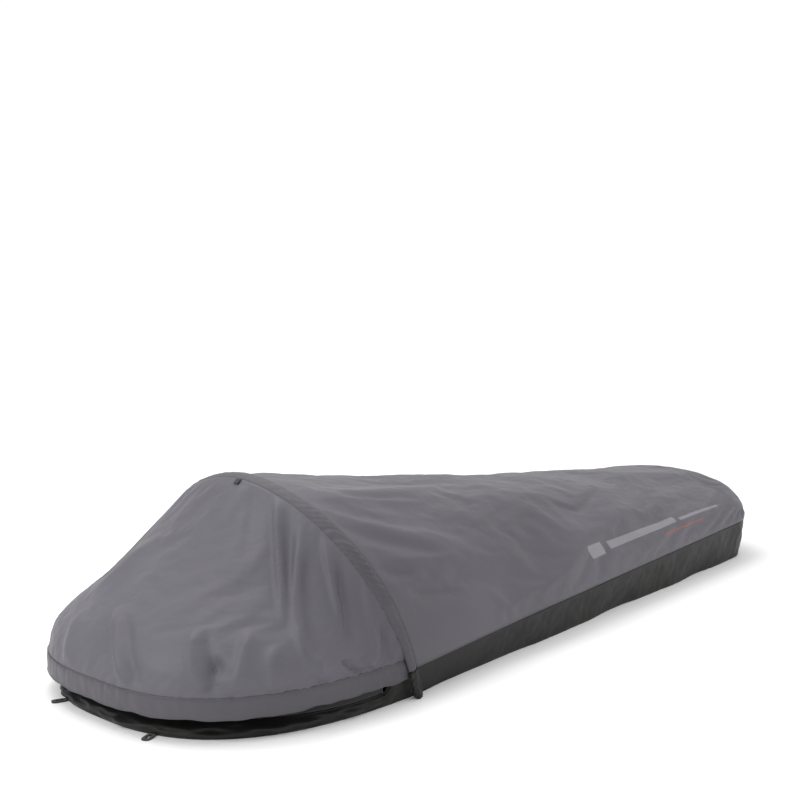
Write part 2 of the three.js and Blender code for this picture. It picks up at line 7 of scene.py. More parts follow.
import bpy
import numpy as np
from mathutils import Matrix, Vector


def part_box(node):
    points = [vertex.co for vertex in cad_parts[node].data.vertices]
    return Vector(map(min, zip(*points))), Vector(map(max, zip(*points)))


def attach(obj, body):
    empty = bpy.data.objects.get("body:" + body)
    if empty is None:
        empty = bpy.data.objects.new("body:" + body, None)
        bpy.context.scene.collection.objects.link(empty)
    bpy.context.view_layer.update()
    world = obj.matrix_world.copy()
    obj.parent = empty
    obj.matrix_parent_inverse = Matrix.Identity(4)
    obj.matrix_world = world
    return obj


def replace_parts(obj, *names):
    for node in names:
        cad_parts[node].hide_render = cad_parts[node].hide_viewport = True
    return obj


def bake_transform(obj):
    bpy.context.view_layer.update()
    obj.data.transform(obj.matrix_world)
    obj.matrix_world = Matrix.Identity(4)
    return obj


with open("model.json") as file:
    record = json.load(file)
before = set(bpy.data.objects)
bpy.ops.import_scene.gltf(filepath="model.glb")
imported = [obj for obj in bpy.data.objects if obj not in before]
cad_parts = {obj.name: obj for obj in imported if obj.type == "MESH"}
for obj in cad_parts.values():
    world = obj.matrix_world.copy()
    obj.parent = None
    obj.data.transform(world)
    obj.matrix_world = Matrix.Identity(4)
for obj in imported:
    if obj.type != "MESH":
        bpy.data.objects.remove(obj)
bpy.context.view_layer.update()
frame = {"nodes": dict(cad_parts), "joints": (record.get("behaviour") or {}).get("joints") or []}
nodes = frame["nodes"]
hoodJoint = next(joint for joint in frame["joints"] if joint["name"] == "hood_fold")
zipJoint = next(joint for joint in frame["joints"] if joint["name"] == "slider_right_travel")
print("frame loaded:", len(nodes), "nodes")

sack = dict(
    halfAtHoop=0.394, halfAtFoot=0.299, length=1.760, ridgeAtHoop=0.442, ridgeAtFoot=0.262, ridgeSag=0.011,
    wallAtHoop=0.068, wallAtFoot=0.122, footRounding=0.200, footRoundness=2.3, footLift=0.030,
    footTuck=0.020, wallTuck=0.009, wallInset=0.0006, wallRoom=0.0020, sideShare=0.34,
    ground=0.0004, seamGap=0.0005, lap=0.0012, lean=math.radians(17.3), axisHeight=0.012,
    acrossAtHoop=1.84, upAtHoop=2.05, acrossAtFoot=2.26, upAtFoot=2.26,
)
head = dict(
    hemReach=0.5314, hemRoundness=2.86, hemHeight=0.090, floorReach=0.510, floorRoundness=2.7,
    bulge=0.030, knee=2.7, flapDrop=0.042, flapStandOff=0.0025, bulgeSpan=0.260,
    bulgeWay=(-1.0, -0.6, 0.4), archStart=0.07, flapEnd=-0.024, cornerBack=0.003, cornerDrop=0.004,
)
# the sleeve's edges, where the hood and canopy meet it, and two numbers for how much the canopy would bend
# when the hood folds, which nothing here reads
hoop = dict(standOff=0.0078, edge=0.0165, footEdge=0.0100, rise=0.0072, bendGap=0.004, bendLength=0.35)
zipLine = dict(radius=0.380, halfAngle=math.radians(95), wallTop=0.0282, hoodEdge=0.0709,
               cornerStart=math.radians(0.25), cornerShare=0.26)
skinAtHoop = sack["halfAtHoop"] + sack["lap"]
skinAtFoot = sack["halfAtFoot"] + sack["lap"]
straight = sack["length"] - sack["footRounding"]
leanSin, leanCos, leanTan = math.sin(sack["lean"]), math.cos(sack["lean"]), math.tan(sack["lean"])
hoopFootX = hoodJoint["pos_m"][0] + sack["axisHeight"] * leanSin  # where the hoop's plane meets the ground
zipCentreX = zipJoint["pos_m"][0] - hoopFootX  # seen from the hoop's foot
archTop = sack["ridgeAtHoop"] / leanCos
wallInPlane = sack["wallAtHoop"] / leanCos


# numbers on whole grids

def between(a, b, share):
    return a + (b - a) * share


def eased(low, high, value):
    share = np.clip((value - low) / (high - low), 0, 1)
    return share * share * (3 - 2 * share)


def signedPower(value, power):
    return np.sign(value) * np.abs(value) ** power


def grid(columns, rows):
    v, u = np.meshgrid(np.linspace(0, 1, rows + 1), np.linspace(0, 1, columns + 1), indexing="ij")
    return u, v


def stacked(x, y, z):
    return np.stack(np.broadcast_arrays(x, y, z), axis=-1).astype(float)


def inRow(points):
    return points + np.array([hoopFootX, 0, 0])


def lengthOf(vectors):
    return np.sqrt((vectors ** 2).sum(-1, keepdims=True))


def normalsOf(points):
    normal = np.cross(np.gradient(points, axis=1), np.gradient(points, axis=0))
    return normal / np.maximum(lengthOf(normal), 1e-12)


def pushedOut(points, amount):
    return points + normalsOf(points) * amount[..., None]


# smooth noise on a grid, from a few random waves, the same every run
def ripple(a, b, waves, shortest, longest, seed):
    dice = np.random.default_rng(seed)
    total = np.zeros(np.broadcast(a, b).shape)
    for _ in range(waves):
        size = shortest * (longest / shortest) ** dice.random()
        heading = dice.random() * 2 * math.pi
        phase = dice.random() * 2 * math.pi
        total += np.sin((a * math.cos(heading) + b * math.sin(heading)) * 2 * math.pi / size + phase)
    return total / math.sqrt(waves)


# one fold: a ridge from start to end, its crest sharp or soft, its two sides as steep as asked
def fold(a, b, start, end, height, width, crest, lopsided, bend):
    start, end = np.array(start, float), np.array(end, float)
    line = end - start
    span = math.hypot(*line)
    along = ((a - start[0]) * line[0] + (b - start[1]) * line[1]) / span ** 2
    off = ((a - start[0]) * -line[1] + (b - start[1]) * line[0]) / span
    off = off - bend * span * np.sin(np.clip(along, 0, 1) * math.pi)
    side = width * (1 + lopsided * np.sign(off))
    away = (np.sqrt(off ** 2 + (crest * width) ** 2) - crest * width) / side
    taper = eased(-0.12, 0.25, along) * (1 - eased(0.72, 1.12, along))
    return height * np.exp(-away ** 1.4) * taper


def folds(a, b, rows):
    total = np.zeros(np.broadcast(a, b).shape)
    for row in rows:
        total += fold(a, b, *row)
    return total


# surfaces, each from u across and v along

def hoopEdge(heightShare):
    return between(hoop["footEdge"], hoop["edge"], eased(0.02, 0.60, heightShare))


def headOutline(angle, reach, half, roundness):
    near, far = np.zeros_like(angle), np.full_like(angle, reach + half)
    for _ in range(40):
        radius = (near + far) / 2
        x = zipCentreX - radius * np.cos(angle)
        y = -radius * np.sin(angle)
        outside = (np.maximum(0, -x) / reach) ** roundness + (np.abs(y) / half) ** roundness > 1
        far = np.where(outside, radius, far)
        near = np.where(outside, near, radius)
    return x, y


def angleAt(x, half):
    return math.pi / 2 + math.atan2(x - zipCentreX, half)


def footDisc(across, along):
    p = across * np.sqrt(1 - along ** 2 / 2)
    e = along * np.sqrt(1 - across ** 2 / 2)
    return p, e, np.minimum(1, np.hypot(p, e))


def footPlan(p, e, radius, fullness):
    size = np.maximum(radius, 1e-9)
    p, e = p / size, e / size
    power = sack["footRoundness"]
    edge = (np.abs(p) ** power + np.abs(e) ** power + 1e-12) ** (-1 / power)
    out = np.where(radius < 1e-8, 0, radius ** fullness * edge)
    return p * out, e * out


def wallHeight(x):
    return between(sack["wallAtHoop"], sack["wallAtFoot"], np.maximum(0, x) / sack["length"])


def halfWidth(x, atHoop, atFoot):
    return between(atHoop, atFoot, np.clip(x / straight, 0, 1))


def ridge(x):
    k = np.clip(x / straight, 0, 1)
    return between(sack["ridgeAtHoop"], sack["ridgeAtFoot"], k) - sack["ridgeSag"] * 4 * k * (1 - k)


footShare = 5 / 18  # share of the canopy's length that is its rounded foot


def canopyPlace(u, v):
    split = 1 - footShare
    turn = (u - 0.5) * math.pi
    inFoot = v > split + 1e-6
    along = np.where(inFoot, np.sin((v - split) / (1 - split) * math.pi / 2), 0)
    k = np.minimum(1, v / split)
    across = between(sack["acrossAtHoop"], sack["acrossAtFoot"], k)
    up = between(sack["upAtHoop"], sack["upAtFoot"], k)
    p, e, radius = footDisc(np.sin(turn), along)
    planP, planE = footPlan(p, e, radius, 2 / across)
    planP = np.where(inFoot, planP, signedPower(np.sin(turn), 2 / across))
    planE = np.where(inFoot, planE, 0)
    x = straight * k + sack["footRounding"] * planE
    height = np.where(inFoot, np.maximum(0, 1 - radius ** 2) ** (1 / up), np.abs(np.cos(turn)) ** (2 / up))
    low = wallHeight(x) + sack["seamGap"]
    z = low + (ridge(x) - low) * height
    leaning = leanTan * z * (1 - k) ** 2
    away = np.exp(-(v / footShare) ** 2 * 6)  # near the hoop
    half = halfWidth(x, skinAtHoop, skinAtFoot)
    points = stacked(x - leaning + hoopEdge(np.abs(np.cos(turn))) * (1 - k), half * planP, z)
    return pushedOut(points, -hoop["rise"] * away)


waveSet = dict(size=0.0045, most=0.011, shortest=0.16, longest=0.60, start=(0.03, 0.12))


# how far the tub's lower edge is drawn in, which makes it wander
def edgeWave(x, side):
    wander = 1 + ripple(x + side * 0.7, 0, 8, waveSet["shortest"], waveSet["longest"], 91)
    return np.clip(waveSet["size"] * wander, 0, waveSet["most"]) * eased(*waveSet["start"], x)


def tubEdge(share, level):
    corner = sack["sideShare"]
    side = np.where(share < 0.5, -1, 1)
    inward = np.where(side < 0, share, 1 - share)
    turn = np.clip((inward - corner) / (0.5 - corner), 0, 1) * math.pi / 2
    p = np.cos(turn) ** (2 / sack["footRoundness"])
    e = np.sin(turn) ** (2 / sack["footRoundness"])
    x = straight * np.minimum(1, inward / corner) + sack["footRounding"] * e
    tuck = sack["wallTuck"] * (1 - level) + sack["wallInset"] + edgeWave(x, side) * (1 - level) ** 2
    tuck = tuck + sack["wallRoom"] * (1 - eased(0.10, 0.30, x))  # room for the canopy to slide down over it
    y = side * (halfWidth(x, sack["halfAtHoop"], sack["halfAtFoot"]) - tuck) * p
    ground = sack["ground"] + sack["footLift"] * e ** 2
    z = between(ground, wallHeight(x) - sack["seamGap"], level)
    return stacked(x - (sack["footTuck"] * (1 - level) + sack["wallInset"]) * e, y, z)


def zipPoint(angle):
    return zipCentreX - zipLine["radius"] * np.cos(angle), -zipLine["radius"] * np.sin(angle)


hoopCorner = angleAt(0, sack["halfAtHoop"])


def headWallPlace(angle, level):
    rising = zipLine["halfAngle"] + zipLine["cornerStart"]  # past the zip the wall rises to the pole's foot
    beyond = eased(rising, between(rising, hoopCorner, zipLine["cornerShare"]), np.abs(angle))
    half = sack["halfAtHoop"] - sack["wallInset"]
    footX, footY = headOutline(angle, head["floorReach"], half - sack["wallTuck"], head["floorRoundness"])
    zipX, zipY = zipPoint(angle)
    topX, topY = between(zipX, footX, beyond), between(zipY, np.sign(footY) * half, beyond)
    topZ = between(zipLine["wallTop"], sack["wallAtHoop"] - sack["seamGap"], beyond)
    x, y = between(footX, topX, level), between(footY, topY, level)
    return stacked(x, y, between(sack["ground"], topZ, level ** 0.6))


def hoopPoint(turn, gap, grow):
    y = -(skinAtHoop + grow) * signedPower(np.cos(turn), 2 / sack["acrossAtHoop"])
    rise = archTop + grow - wallInPlane
    w = wallInPlane + rise * np.abs(np.sin(turn)) ** (2 / sack["upAtHoop"])
    return stacked(-w * leanSin - gap, y, w * leanCos)


hoodCorner = angleAt(-leanTan * head["hemHeight"] - head["cornerBack"], skinAtHoop)


def hemPlace(angle):
    x, y = headOutline(angle, head["hemReach"], skinAtHoop, head["hemRoundness"])
    return stacked(x, y, head["hemHeight"])


def hoodPlace(u, v, skirt):
    angle = between(hoodCorner, -hoodCorner, u)
    turn = between(head["archStart"], math.pi - head["archStart"], u)
    hem = hemPlace(angle)
    top = hoopPoint(turn, hoopEdge(np.abs(np.sin(turn))), hoop["rise"])
    k = np.clip(v / skirt, 0, 1)
    reach = np.minimum(1, lengthOf(top - hem)[..., 0] / head["bulgeSpan"]) ** 2
    swell = head["bulge"] * reach * np.sin(math.pi * k ** head["knee"])
    ahead, aside, up = head["bulgeWay"]
    out = stacked(ahead * np.abs(np.sin(turn)), aside * np.cos(turn), up)
    panel = between(top, hem, k[..., None]) + out * swell[..., None]
    below = np.clip((v - skirt) / (1 - skirt), 0, 1)[..., None]
    beyond = eased(zipLine["halfAngle"], hoodCorner, np.abs(angle))[..., None]
    zipEdge = stacked(*zipPoint(angle), zipLine["hoodEdge"])
    corner = hem - np.array([0, 0, head["cornerDrop"]])
    return between(panel, between(zipEdge, corner, beyond), below)


# meshes

def emptyPiece(name, points, faces, finish, smooth=True):
    mesh = bpy.data.meshes.new(name)
    mesh.from_pydata([tuple(point) for point in points], [], [tuple(face) for face in faces])
    mesh.validate()
    mesh.materials.append(finish)
    mesh.polygons.foreach_set("use_smooth", [smooth] * len(mesh.polygons))
    piece = bpy.data.objects.new(name, mesh)
    bpy.context.scene.collection.objects.link(piece)
    return piece


def gridFaces(rows, columns, offset=0, closed=False):
    index = np.arange(rows * columns).reshape(rows, columns) + offset
    if closed:
        index = np.concatenate([index, index[:, :1]], axis=1)
    quads = np.stack([index[:-1, :-1], index[:-1, 1:], index[1:, 1:], index[1:, :-1]], axis=-1)
    return quads.reshape(-1, 4)


# cloth on a grid of points, closed into a thin solid, with its cut pattern in metres as its UV map
def clothPiece(name, points, finish, cutSize=None, thickness=0.0009, around=False):
    rows, columns = points.shape[:2]
    normal = normalsOf(points)
    if around:
        ahead = np.roll(points, -1, axis=1) - np.roll(points, 1, axis=1)
        normal = np.cross(ahead, np.gradient(points, axis=0))
        normal = normal / np.maximum(lengthOf(normal), 1e-12)
    front = points + normal * thickness / 2
    back = points - normal * thickness / 2
    count = rows * columns
    frontFaces = gridFaces(rows, columns, 0, around)
    backFaces = gridFaces(rows, columns, count, around)[:, ::-1]
    index = np.arange(count).reshape(rows, columns)
    if around:
        rims = [(np.append(index[0], index[0, 0]), True), (np.append(index[-1], index[-1, 0]), False)]
    else:
        rims = [(index[0], True), (index[-1], False), (index[:, 0], False), (index[:, -1], True)]
    faces = [frontFaces, backFaces]
    for line, flip in rims:
        strip = np.stack([line[:-1], line[:-1] + count, line[1:] + count, line[1:]], axis=-1)
        faces.append(strip if flip else strip[:, ::-1])
    bothSides = np.concatenate([front.reshape(-1, 3), back.reshape(-1, 3)])
    piece = emptyPiece(name, bothSides, np.concatenate(faces), finish)
    if cutSize is None:
        middleRow, firstColumn = np.diff(points[rows // 2], axis=0), np.diff(points[:, 0], axis=0)
        cutSize = (lengthOf(middleRow).sum(), lengthOf(firstColumn).sum())
    across = np.linspace(0, cutSize[0], columns)
    alongRow = np.linspace(0, cutSize[1], rows)
    cut = np.stack(np.broadcast_arrays(across[None, :], alongRow[:, None]), axis=-1).reshape(-1, 2)
    cut = np.concatenate([cut, cut])
    corners = np.empty(len(piece.data.loops), dtype=np.int32)
    piece.data.loops.foreach_get("vertex_index", corners)
    layer = piece.data.uv_layers.new(name="cut")
    layer.data.foreach_set("uv", cut[corners].astype(np.float32).ravel())
    return piece


def areaOf(piece):
    return sum(face.area for face in piece.data.polygons) / 2


settling = dict(quality=5, mass=0.12, stiff=6.0, shearShare=0.6, bending=2.0, damping=12, bendDamping=1.0,
                air=4, farthest=0.012)


# lets a cloth grid settle: pinned at its edges, a little too big for its frame, so that it wrinkles by itself
def settled(name, points, pins, made):
    rows, columns = points.shape[:2]
    piece = emptyPiece(name + "Trial", points.reshape(-1, 3), gridFaces(rows, columns), None)
    group = piece.vertex_groups.new(name="pins")
    for index in np.flatnonzero(pins.ravel() > 0.01):
        group.add([int(index)], float(pins.ravel()[index]), "REPLACE")
    modifier = piece.modifiers.new("cloth", "CLOTH")
    settings = modifier.settings
    settings.quality = settling["quality"]
    settings.mass = settling["mass"]
    settings.tension_stiffness = settings.compression_stiffness = settling["stiff"]
    settings.shear_stiffness = settling["stiff"] * settling["shearShare"]
    settings.bending_stiffness = settling["bending"]
    settings.tension_damping = settings.compression_damping = settings.shear_damping = settling["damping"]
    settings.bending_damping = settling["bendDamping"]
    settings.air_damping = settling["air"]
    settings.shrink_min = -made["spare"]
    settings.shrink_max = -made["spare"]
    settings.vertex_group_mass = "pins"
    settings.pin_stiffness = 1
    settings.effector_weights.gravity = made["gravity"]
    modifier.collision_settings.use_collision = False
    modifier.collision_settings.use_self_collision = False
    modifier.point_cache.frame_start = 1
    modifier.point_cache.frame_end = made["frames"]
    for step in range(1, made["frames"] + 1):
        bpy.context.scene.frame_set(step)
    evaluated = piece.evaluated_get(bpy.context.evaluated_depsgraph_get())
    result = np.empty(rows * columns * 3)
    evaluated.data.vertices.foreach_get("co", result)
    result = result.reshape(rows, columns, 3)
    bpy.data.objects.remove(piece)
    bpy.context.scene.frame_set(1)
    moved = result - points
    far = lengthOf(moved)
    print(name, "settled, mean move", round(float(far.mean()) * 1000, 2), "mm")
    return points + moved * np.minimum(1, settling["farthest"] / np.maximum(far, 1e-9))


# shader graphs written as expressions

class Signal:
    def __init__(self, finish, socket):
        self.finish = finish
        self.socket = socket

    def maths(self, operation, a, b=0.0):
        return self.finish.node("ShaderNodeMath", {"operation": operation}, {0: a, 1: b})

    def __add__(self, other):
        return self.maths("ADD", self, other)

    def __radd__(self, other):
        return self.maths("ADD", other, self)

    def __sub__(self, other):
        return self.maths("SUBTRACT", self, other)

    def __rsub__(self, other):
        return self.maths("SUBTRACT", other, self)

    def __mul__(self, other):
        return self.maths("MULTIPLY", self, other)

    def __rmul__(self, other):
        return self.maths("MULTIPLY", other, self)

    def __gt__(self, other):
        return self.maths("GREATER_THAN", self, other)

    def __lt__(self, other):
        return self.maths("LESS_THAN", self, other)

    def wrapped(self, size):
        return self.maths("MODULO", self, size)

    def size(self):
        return self.maths("ABSOLUTE", self)

    def sine(self):
        return self.maths("SINE", self)


class Finish:
    def __init__(self, name):
        self.material = bpy.data.materials.new(name)
        self.material.use_nodes = True
        self.tree = self.material.node_tree
        self.tree.nodes.clear()

    def node(self, kind, settings=None, sockets=None, out=0):
        made = self.tree.nodes.new(kind)
        for key, value in (settings or {}).items():
            if key == "stops":
                ramp = made.color_ramp.elements
                while len(ramp) < len(value):
                    ramp.new(0.5)
                for stop, (place, shade) in zip(ramp, value):
                    stop.position = place
                    stop.color = (*shade, 1) if len(shade) == 3 else shade
            else:
                setattr(made, key, value)
        for key, value in (sockets or {}).items():
            if isinstance(value, Signal):
                self.tree.links.new(value.socket, made.inputs[key])
            else:
                made.inputs[key].default_value = value
        return Signal(self, made.outputs[out]) if made.outputs else None

    def cutPattern(self):
        return self.node("ShaderNodeUVMap", {"uv_map": "cut"})

    def place(self):
        return self.node("ShaderNodeTexCoord", out="Object")

    def axes(self, vector):
        return [self.node("ShaderNodeSeparateXYZ", sockets={0: vector}, out=axis) for axis in "XYZ"]

    def scaled(self, vector, scale):
        return self.node("ShaderNodeVectorMath", {"operation": "MULTIPLY"}, {0: vector, 1: scale})

    def noise(self, vector, scale, detail=2.0, roughness=0.5):
        sockets = {"Vector": vector, "Scale": scale, "Detail": detail, "Roughness": roughness}
        return self.node("ShaderNodeTexNoise", sockets=sockets)

    def ramp(self, factor, stops):
        return self.node("ShaderNodeValToRGB", {"stops": stops}, {0: factor})

    def blended(self, factor, a, b):
        settings = {"data_type": "RGBA", "blend_type": "MIX"}
        return self.node("ShaderNodeMix", settings, {0: factor, 6: a, 7: b}, out=2)

    def bump(self, height, distance, strength=1.0, under=None):
        sockets = {"Height": height, "Distance": distance, "Strength": strength}
        if under is not None:
            sockets["Normal"] = under
        return self.node("ShaderNodeBump", sockets=sockets)

    def done(self, **sockets):
        named = {key.replace("_", " "): value for key, value in sockets.items()}
        shader = self.node("ShaderNodeBsdfPrincipled", sockets=named)
        self.node("ShaderNodeOutputMaterial", sockets={"Surface": shader})
        return self.material


def shade(value):
    parts = [int(value[i:i + 2], 16) / 255 for i in (1, 3, 5)]
    return (*[part / 12.92 if part < 0.04045 else ((part + 0.055) / 1.055) ** 2.4 for part in parts], 1)


# coated cloth: threads crossing at the weave's pitch, soft colour drift, small creases, scuffs that dull it
def coatedCloth(name, look, printed=False):
    finish = Finish(name)
    cut = finish.cutPattern()
    across, along, _ = finish.axes(cut)
    turns = 2 * math.pi / look["threads"]
    weave = (across * turns).sine() * (along * turns).sine()
    place = finish.place()
    drift = finish.noise(place, look["driftScale"], 3.0, 0.55)
    creaseField = finish.noise(finish.scaled(place, (1, 1, 0.45)), look["creaseScale"], 5.0, 0.62)
    crease = (creaseField - 0.5).size()
    scuff = finish.noise(place, look["scuffScale"], 6.0, 0.7)
    colour = finish.ramp(drift, [(0.3, shade(look["dark"])), (0.7, shade(look["light"]))])
    colour = finish.blended(scuff * look["scuffShare"], colour, shade(look["worn"]))
    if printed:
        mask, glow = printMask(finish, across, along)
        colour = finish.blended(mask, colour, shade(look["ink"]))
        colour = finish.blended(glow, colour, shade(look["thinLine"]))
    rough = look["rough"] + (scuff - 0.5) * look["roughDrift"] + (drift - 0.5) * 0.08
    fine = finish.bump(weave, look["threadDepth"], 0.6)
    creased = finish.bump(crease, look["creaseDepth"], 0.8, fine)
    return finish.done(
        Base_Color=colour, Roughness=rough, Normal=creased, Specular_IOR_Level=look["gloss"],
        Sheen_Weight=look["sheen"], Sheen_Roughness=0.4, Sheen_Tint=shade(look["light"]),
        Coat_Weight=look["coat"], Coat_Roughness=0.4,
    )


printing = dict(
    start=0.665, end=1.335, low=0.090, tall=0.050, rise=0.055, slant=0.35, strength=0.8,
    dash=0.030, gap=0.005,
    # left, right, bottom and top as shares of the print's length and height
    bars=[(0, 0.09, 0, 1), (0.13, 0.62, 0.18, 0.82), (0.65, 1, 0.18, 0.50)],
    line=(0.48, 0.80, -0.62, -0.52),
)


def inside(value, low, high):
    return (value > low) * (value < high)


# the print is plain bars with no lettering, and a thin broken line under them
def printMask(finish, across, along):
    start, span, tall = printing["start"], printing["end"] - printing["start"], printing["tall"]
    level = across - (along - start) * (printing["rise"] / span) - printing["low"]
    slanted = along + level * printing["slant"]

    def bar(left, right, bottom, top):
        wide = inside(slanted, start + span * left, start + span * right)
        return wide * inside(level, tall * bottom, tall * top)

    first, second, third = (bar(*shares) for shares in printing["bars"])
    broken = slanted.wrapped(printing["dash"]) > printing["gap"]
    return (first + second + third) * printing["strength"], bar(*printing["line"]) * broken


greyLook = dict(
    dark="#4c4a51", light="#5b5960", worn="#646268", ink="#8b898e", thinLine="#b04a28", threads=0.0012,
    threadDepth=0.00004, driftScale=2.2, creaseScale=9.0, creaseDepth=0.0009, scuffScale=30.0,
    scuffShare=0.18, rough=0.48, roughDrift=0.16, sheen=0.01, coat=0.01, gloss=0.30,
)
blackLook = dict(
    dark="#121413", light="#20201e", worn="#2c2c2a", threads=0.0016, threadDepth=0.00006, driftScale=3.0,
    creaseScale=8.0, creaseDepth=0.0020, scuffScale=34.0, scuffShare=0.25, rough=0.46, roughDrift=0.18,
    sheen=0.0, coat=0.0, gloss=0.22,
)
canopyCloth = coatedCloth("canopyCloth", greyLook, printed=True)
hoodCloth = coatedCloth("hoodCloth", greyLook)
sleeveCloth = coatedCloth("sleeveCloth", greyLook | dict(dark="#444248", light="#504e54", rough=0.54))
# the flap is the hood's grey cloth, painted darker as shade because it hangs down and faces away from the
# light
flapClothPaintedShade = coatedCloth("flapClothPaintedShade", greyLook | dict(dark="#403e44", light="#4c4a50"))
tubCloth = coatedCloth("tubCloth", blackLook)
floorCloth = coatedCloth("floorCloth", blackLook | dict(rough=0.55, gloss=0.35))


strapLook = dict(lintScale=260.0, depth=0.0002, strength=0.7, rough=0.72, roughDrift=0.2, sheen=0.2)


# woven strap: ribs crossing, and lint
def strapFinish(name, dark, light, rib):
    finish = Finish(name)
    place = finish.place()
    x, y, z = finish.axes(place)
    turns = 2 * math.pi / rib
    ribs, cross = ((x + y + z) * turns).sine(), ((x - y + z) * turns).sine()
    lint = finish.noise(place, strapLook["lintScale"], 5.0, 0.7)
    colour = finish.blended(lint, shade(dark), shade(light))
    bump = finish.bump(ribs * cross + lint * 0.5, strapLook["depth"], strapLook["strength"])
    rough = strapLook["rough"] + lint * strapLook["roughDrift"]
    return finish.done(Base_Color=colour, Roughness=rough, Normal=bump, Sheen_Weight=strapLook["sheen"])


metalLook = dict(grainScale=60.0, patchScale=14.0, grainRough=0.15, patchRough=0.12, depth=0.00005)


# metal: fine draw marks along it, with patches where handling has dulled it
def metalFinish(name, dark, light, rough, metallic, drawn):
    finish = Finish(name)
    place = finish.place()
    grain = finish.noise(finish.scaled(place, drawn), metalLook["grainScale"], 4.0, 0.6)
    patch = finish.noise(place, metalLook["patchScale"], 3.0)
    colour = finish.blended(patch, shade(dark), shade(light))
    worn = (grain - 0.5) * metalLook["grainRough"] + (patch - 0.5) * metalLook["patchRough"]
    bump = finish.bump(grain, metalLook["depth"], 0.5)
    return finish.done(Base_Color=colour, Metallic=metallic, Roughness=rough + worn, Normal=bump)


plasticLook = dict(grainScale=900.0, rubScale=45.0, roughDrift=0.2, depth=0.00004)


# moulded plastic: a faint grain and rubbed lighter spots
def plasticFinish(name, dark, light, rough):
    finish = Finish(name)
    place = finish.place()
    grain = finish.noise(place, plasticLook["grainScale"], 3.0)
    rub = finish.noise(place, plasticLook["rubScale"], 4.0)
    colour = finish.blended(rub, shade(dark), shade(light))
    bump = finish.bump(grain, plasticLook["depth"], 0.5)
    rough = rough + (rub - 0.5) * plasticLook["roughDrift"]
    return finish.done(Base_Color=colour, Roughness=rough, Normal=bump)


braidLook = dict(light="#c9c9c3", fleck="#8e8f8c", strands=4200.0, fleckScale=500.0, rough=0.8, depth=0.0002)


# braided cover: two sets of strands crossing, with flecks
def braidFinish(name):
    finish = Finish(name)
    x, y, z = finish.axes(finish.place())
    strands = braidLook["strands"]
    one, two = ((x + y + z) * strands).sine(), ((y - x - z) * strands).sine()
    fleck = finish.noise(finish.place(), braidLook["fleckScale"], 2.0)
    colour = finish.blended(fleck, shade(braidLook["light"]), shade(braidLook["fleck"]))
    bump = finish.bump(one * two, braidLook["depth"], 0.8)
    return finish.done(Base_Color=colour, Roughness=braidLook["rough"] + fleck * 0.1, Normal=bump)


webbing = strapFinish("webbing", "#131415", "#26282a", 0.0016)
zipCloth = strapFinish("zipCloth", "#111112", "#1f2022", 0.0012)
threadFinish = strapFinish("thread", "#4a494d", "#605f65", 0.0008)
blackMetal = metalFinish("blackMetal", "#232427", "#3a3b3e", 0.36, 0.85, (1, 1, 1))
poleMetal = metalFinish("poleMetal", "#7f8186", "#9b9da1", 0.34, 1.0, (6, 1, 6))
ferruleMetal = metalFinish("ferruleMetal", "#97999d", "#b4b6b9", 0.28, 1.0, (6, 1, 6))
coilPlastic = plasticFinish("coilPlastic", "#101011", "#1e1e20", 0.42)
hardPlastic = plasticFinish("hardPlastic", "#121214", "#202124", 0.46)
elasticBraid = braidFinish("elasticBraid")
print("finishes made")

keptNodes = {"shock_cord": elasticBraid}
for word in ("right", "left"):
    keptNodes |= {f"slider_{word}": blackMetal, f"zip_stop_{word}": blackMetal}
    keptNodes |= {f"pull_{word}": hardPlastic, f"pole_tip_{word}": hardPlastic}
keptNodes |= {f"pole_section_{i}": poleMetal for i in range(1, 5)}
keptNodes |= {f"pole_ferrule_{i}": ferruleMetal for i in range(1, 4)}
for name, finish in keptNodes.items():
    nodes[name].data.materials.clear()
    nodes[name].data.materials.append(finish)


# how long each stitch is, its share of the pitch, and how it thins at its ends
stitchSet = dict(pitch=0.0042, share=0.72, radius=0.00032, sides=5, lift=0.0007,
                 rings=((0.0, 0.5), (0.15, 1.0), (0.85, 1.0), (1.0, 0.5)))


# rows of stitches: small rounded bars laid end to end along a line of points
def stitchRow(name, lines):
    points, faces = [], []
    pitch, sides, rings = stitchSet["pitch"], stitchSet["sides"], stitchSet["rings"]
    for line in lines:
        steps = np.concatenate([[0], np.cumsum(lengthOf(np.diff(line, axis=0))[:, 0])])
        for start in np.arange(pitch, steps[-1] - pitch, pitch):
            first, last = (np.array([np.interp(at, steps, line[:, axis]) for axis in range(3)])
                           for at in (start, start + pitch * stitchSet["share"]))
            way = last - first
            way = way / max(np.linalg.norm(way), 1e-9)
            side = np.cross(way, [0.3, 0.2, 1.0])
            side = side / np.linalg.norm(side)
            other = np.cross(way, side)
            base = len(points)
            for share, thin in rings:
                for corner in range(sides):
                    angle = corner * 2 * math.pi / sides
                    out = side * math.cos(angle) + other * math.sin(angle)
                    points.append(between(first, last, share) + out * stitchSet["radius"] * thin)
            for ring in range(len(rings) - 1):
                for corner in range(sides):
                    a = base + ring * sides + corner
                    b = base + ring * sides + (corner + 1) % sides
                    faces.append((a, b, b + sides, a + sides))
            faces.append(tuple(base + corner for corner in reversed(range(sides))))
            faces.append(tuple(base + (len(rings) - 1) * sides + corner for corner in range(sides)))
    return emptyPiece(name, points, faces, threadFinish)


def seamLine(points, row=None, column=None):
    raised = points + normalsOf(points) * stitchSet["lift"]
    return raised[row] if row is not None else raised[:, column]


def standFor(piece, node, body):
    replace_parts(piece, node)
    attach(piece, body)


# the canopy, one sheet from the sleeve to the foot

